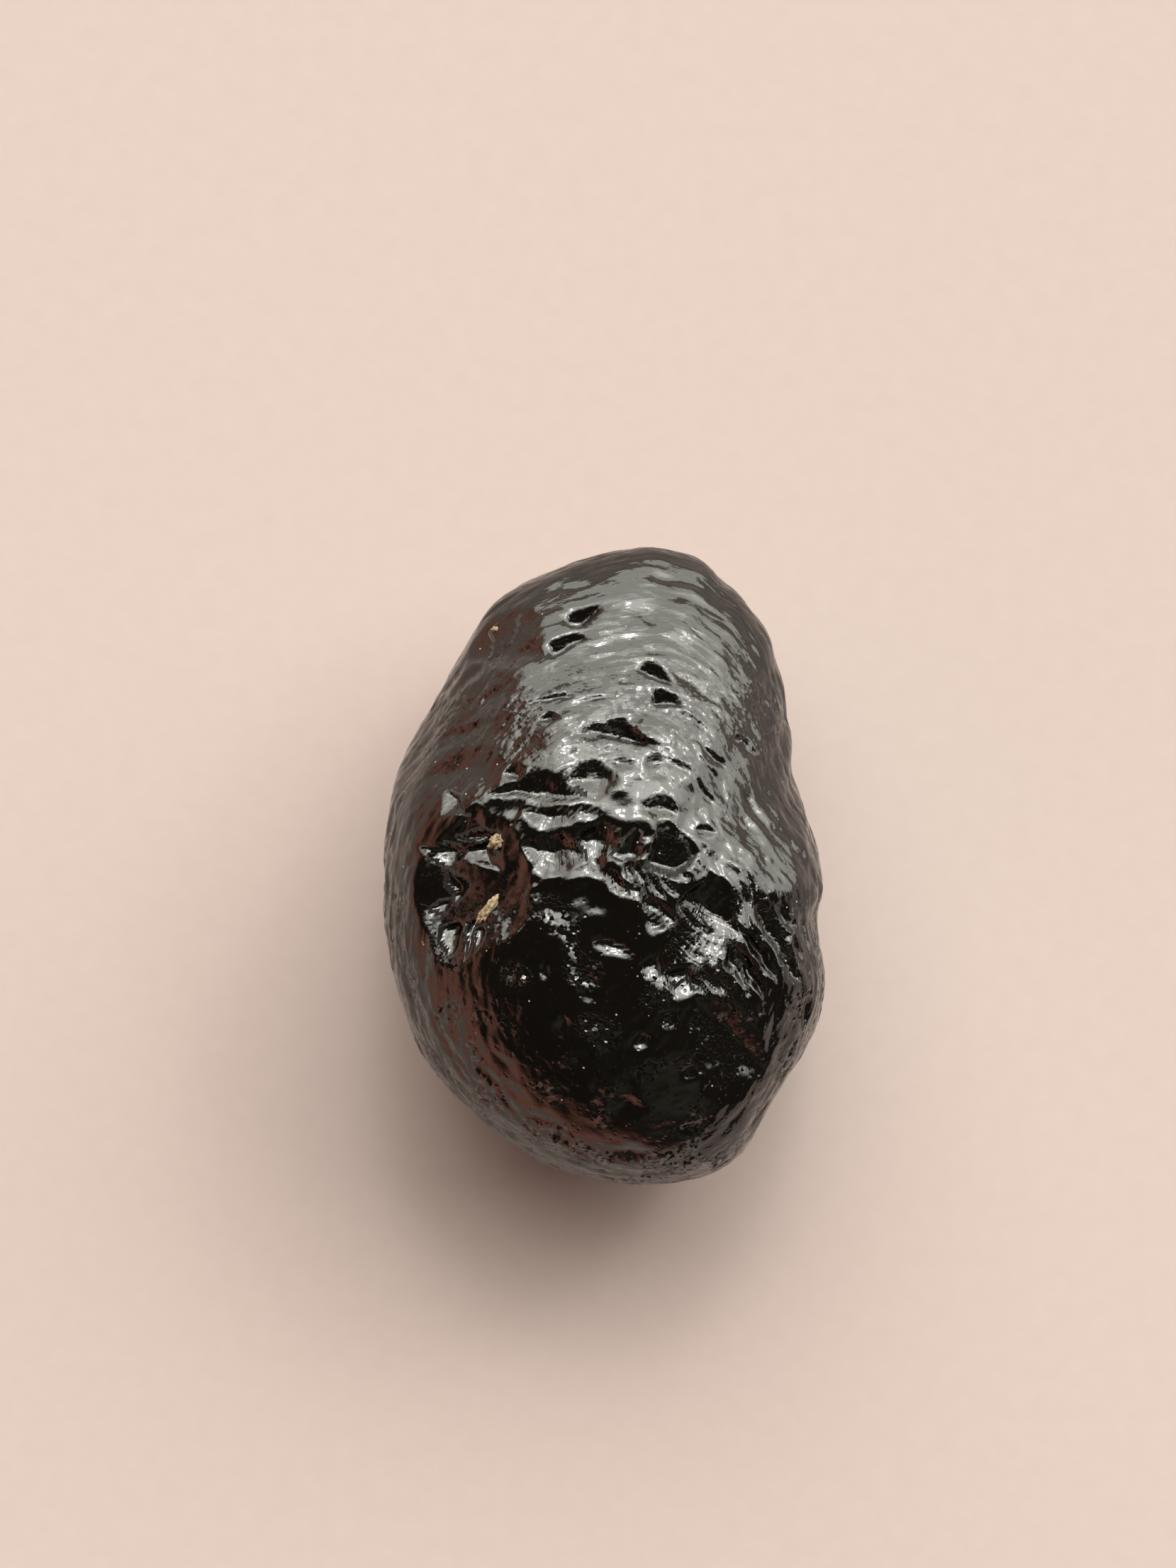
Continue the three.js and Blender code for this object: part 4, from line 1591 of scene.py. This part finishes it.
@dataclass(frozen=True)
class DryClay:
    """Kaolin-rich clay from the tin gravels, dried to a dull tan crust. Sizes are in mm."""

    name: str = "clay_dry"
    pale: str = "#8C7C62"
    dark: str = "#4A3D2B"
    grain_size: float = 0.12
    grain_height: float = 0.03
    grain_limits: tuple[float, float] = (0.35, 0.65)  # the noise of the dark and the pale grains
    roughness: float = 0.92

    def build(self) -> bpy.types.Material:
        """Makes the material.

        Returns:
            The material.
        """
        material, add, shader = new_material(self.name)
        place = add("TexCoord").outputs["Object"]
        grain = add(
            "TexNoise", {"Vector": place, "Scale": 1 / (self.grain_size * MM), "Detail": 4.0}
        ).outputs["Fac"]
        low, high = self.grain_limits
        ramp = add("MapRange", {"Value": grain, "From Min": low, "From Max": high})
        colour = add(
            "Mix",
            {"Factor": ramp.outputs["Result"], "A": linear_colour(self.dark),
             "B": linear_colour(self.pale)},
            data_type="RGBA",
        )
        bump = add(
            "Bump", {"Height": grain, "Strength": 1.0, "Distance": self.grain_height * MM}
        )
        plug_in(shader, {
            "Base Color": colour.outputs["Result"], "Normal": bump.outputs["Normal"],
            "Roughness": self.roughness,
        })
        return material


@dataclass(frozen=True)
class Crumb:
    """One crumb: where the eye sees it, its half sizes and its heading."""

    name: str
    x: float
    y: float
    half_length: float
    half_width: float
    half_height: float
    heading: float
    seed: float


@dataclass(frozen=True)
class ClayCrumbs:
    """The crumbs of dry clay that are lodged in the stone's relief."""

    crumbs: tuple[Crumb, ...] = (
        Crumb("clay_crumb_upper", -5.75, 1.3, 0.46, 0.36, 0.30, 30, 3.1),
        Crumb("clay_crumb_lower", -6.3, -2.5, 0.82, 0.24, 0.2, 54, 8.4),
        Crumb("clay_speck", -5.95, 12.65, 0.17, 0.15, 0.10, 0, 5.5),
    )
    lumpiness: float = 0.55
    lift: float = 0.4  # how far a crumb's middle stands over the skin, as a share of its height

    def seat(self, crumb: Crumb, stone: bpy.types.Object) -> np.ndarray:
        """The stone's point that the eye sees at the crumb's place, in mm.

        Args:
            crumb: The crumb.
            stone: The finished stone.

        Returns:
            The point.
        """
        skin = read_points(stone.data) / MM
        raised = skin - np.array([0, 0, MIDDLE_PLANE])
        upper = np.nonzero(raised[:, 2] > 0)[0]
        apart = seen_from_eye(raised[upper]) - np.array([crumb.x, crumb.y])
        return skin[upper[np.argmin((apart * apart).sum(axis=1))]]

    def build(self, crumb: Crumb, stone: bpy.types.Object) -> bpy.types.Object:
        """Makes one crumb where it lies on the stone.

        Args:
            crumb: The crumb's place and sizes.
            stone: The finished stone, which gives the height it lies at.

        Returns:
            The crumb.
        """
        deselect_all()
        bpy.ops.mesh.primitive_ico_sphere_add(subdivisions=4, radius=1.0)
        piece = take_over(crumb.name)
        ball = unit_rows(read_points(piece.data))
        rough = np.array([
            noise.fractal(Vector(p) * 1.6 + Vector((crumb.seed,) * 3), 0.7, 2.2, 5) for p in ball
        ])
        lump = ball * (1 + self.lumpiness * rough)[:, None]
        lump = lump * np.array([crumb.half_length, crumb.half_width, crumb.half_height])
        turn = math.radians(crumb.heading)
        cosine, sine = math.cos(turn), math.sin(turn)
        turned = np.column_stack([
            lump[:, 0] * cosine - lump[:, 1] * sine,
            lump[:, 0] * sine + lump[:, 1] * cosine,
            lump[:, 2],
        ])
        lift = np.array([0, 0, self.lift * crumb.half_height])
        write_points(piece.data, (turned + self.seat(crumb, stone) + lift) * MM)
        bpy.ops.object.shade_smooth()
        return piece

    def build_all(self, stone: bpy.types.Object) -> list[bpy.types.Object]:
        """Makes every crumb, all of the same clay.

        Args:
            stone: The finished stone.

        Returns:
            The crumbs.
        """
        clay = DryClay().build()
        pieces = [self.build(crumb, stone) for crumb in self.crumbs]
        for piece in pieces:
            piece.data.materials.append(clay)
        return pieces


# ---- The studio ----


@dataclass(frozen=True)
class MattPaper:
    """Uncoated paper, which gives the eye a plain pale floor with hardly any grain."""

    name: str = "paper_matt_pale"
    pale: str = "#9B8D89"
    dark: str = "#968884"
    fibres: float = 900.0  # in a metre
    roughness: float = 0.9

    def build(self) -> bpy.types.Material:
        """Makes the material.

        Returns:
            The material.
        """
        material, add, shader = new_material(self.name)
        place = add("TexCoord").outputs["Object"]
        fibre = add(
            "TexNoise", {"Vector": place, "Scale": self.fibres, "Detail": 3.0}
        ).outputs["Fac"]
        colour = add(
            "Mix", {"Factor": fibre, "A": linear_colour(self.dark), "B": linear_colour(self.pale)},
            data_type="RGBA",
        )
        plug_in(shader, {"Base Color": colour.outputs["Result"], "Roughness": self.roughness})
        return material


def direction(turn: float, from_top: float) -> tuple[float, float, float]:
    """The unit vector of a heading from +X and an angle from straight up, in degrees."""
    turn, from_top = math.radians(turn), math.radians(from_top)
    return (
        math.sin(from_top) * math.cos(turn), math.sin(from_top) * math.sin(turn),
        math.cos(from_top),
    )


@dataclass(frozen=True)
class Glow:
    """Light from a round part of the surroundings."""

    turn: float  # degrees from +X to its middle
    from_top: float  # degrees from straight up to its middle
    edge: float  # how far from the middle the light ends, degrees
    soft: float  # degrees over which it fades
    colour: tuple[float, float, float]
    cut_off: tuple[float, float] | None = None  # the middle of the half that alone is lit


WINDOW_SIDE = (27, 65)  # the half with the window, as turn and from_top
FAR_SIDE = (207, 115)  # the other half


@dataclass(frozen=True)
class Stage:
    """The floor, the light and the camera."""

    floor_half: float = 600.0  # mm
    lens: float = 68.2
    clip: tuple[float, float] = (0.001, 10.0)  # m
    ambient: tuple[float, float, float] = (0.06, 0.055, 0.05)
    backdrop: tuple[float, float, float, float] = (0.72, 0.68, 0.65, 1.0)
    cut_off_edge: float = 90  # a glow that is cut off lights half of the directions
    cut_off_soft: float = 14
    glows: tuple[Glow, ...] = (
        Glow(88, 115, 93, 14, (4.5, 4.45, 3.9), WINDOW_SIDE),  # the window
        Glow(88, 41, 22, 24, (4.2, 4.2, 3.95)),  # its brighter part over the thin end
        Glow(84, 40, 6, 6, (24.0, 24.0, 23.0)),  # the core of that, for the glints
        Glow(46, 52, 20, 26, (3.6, 3.6, 3.4)),  # a second bright part, to the right
        Glow(46, 50, 5, 5, (20.0, 20.0, 19.0)),  # its core
        Glow(12, 44, 4, 5, (14.0, 14.0, 13.3)),  # a small lamp at the right
        Glow(195, 150, 90, 34, (1.5, 0.62, 0.42), FAR_SIDE),  # a warm reflector, low on the left
        Glow(300, 50, 14, 44, (0.28, 0.28, 0.2)),  # a weak fill from below right
    )

    def build_floor(self) -> bpy.types.Object:
        """Makes the pale floor.

        Returns:
            The floor.
        """
        deselect_all()
        bpy.ops.mesh.primitive_plane_add(size=2 * self.floor_half * MM)
        floor = take_over("studio_floor")
        floor.data.materials.append(MattPaper().build())
        return floor

    def share_of(
        self, add: Callable, place: Socket, middle: tuple[float, float, float],
        edge: float, soft: float,
    ) -> Socket:
        """How much of a glow lights each direction: 1 within the edge, fading to 0.

        Args:
            add: Adds a node.
            place: The socket with the direction.
            middle: The unit vector of the glow's middle.
            edge: How far from the middle it reaches, degrees.
            soft: How wide the fade is, degrees.

        Returns:
            The socket with the share.
        """
        facing = add("VectorMath", {0: place, 1: middle}, operation="DOT_PRODUCT")
        angle = add("Math", {0: facing.outputs["Value"]}, operation="ARCCOSINE").outputs[0]
        return add(
            "MapRange",
            {"Value": angle, "From Min": math.radians(edge + soft / 2),
             "From Max": math.radians(edge - soft / 2)},
            interpolation_type="SMOOTHSTEP",
        ).outputs["Result"]

    def build_light(self) -> None:
        """Makes the soft light: a wide pale window and a dim warm side."""
        world = bpy.data.worlds.new("soft_studio")
        bpy.context.scene.world = world
        world.use_nodes = True
        add = partial(add_node, world.node_tree)
        place = add("TexCoord").outputs["Generated"]
        total = add("CombineXYZ", dict(enumerate(self.ambient))).outputs[0]
        for glow in self.glows:
            middle = direction(glow.turn, glow.from_top)
            share = self.share_of(add, place, middle, glow.edge, glow.soft)
            if glow.cut_off:
                half = self.share_of(
                    add, place, direction(*glow.cut_off), self.cut_off_edge, self.cut_off_soft
                )
                share = add("Math", {0: share, 1: half}, operation="MULTIPLY").outputs[0]
            lit = add("VectorMath", {0: glow.colour, "Scale": share}, operation="SCALE")
            total = add(
                "VectorMath", {0: total, 1: lit.outputs["Vector"]}, operation="ADD"
            ).outputs["Vector"]
        # The camera itself sees a plain pale backdrop, not the lights.
        is_camera = add("LightPath").outputs["Is Camera Ray"]
        shown = add("Mix", {"Factor": is_camera, "A": total, "B": self.backdrop}, data_type="RGBA")
        background = world.node_tree.nodes["Background"]
        plug_in(background, {"Color": shown.outputs["Result"], "Strength": 1.0})

    def build_camera(self) -> None:
        """Makes the camera, straight above the stone."""
        data = bpy.data.cameras.new("camera")
        data.lens = self.lens
        data.clip_start, data.clip_end = self.clip
        camera = bpy.data.objects.new("camera", data)
        bpy.context.scene.collection.objects.link(camera)
        camera.location = (EYE[0] * MM, EYE[1] * MM, (EYE[2] + MIDDLE_PLANE) * MM)
        bpy.context.scene.camera = camera
        bpy.context.scene.view_settings.view_transform = "Standard"


def main() -> None:
    """Builds the stone, the crumbs and the studio, and reports each piece."""
    logging.basicConfig(level=logging.INFO, format="%(name)s: %(message)s")
    tektite = Stone()
    stone = tektite.build()
    tektite.dress(stone)
    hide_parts(STONE_NODE)
    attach(stone, ROOT_BODY)
    log.info("%s: %d points", stone.name, len(stone.data.vertices))
    for crumb in ClayCrumbs().build_all(stone):
        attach(crumb, ROOT_BODY)
        log.info("%s: %d points", crumb.name, len(crumb.data.vertices))
    studio = Stage()
    studio.build_floor()
    studio.build_light()
    studio.build_camera()


if __name__ == "__main__":
    main()
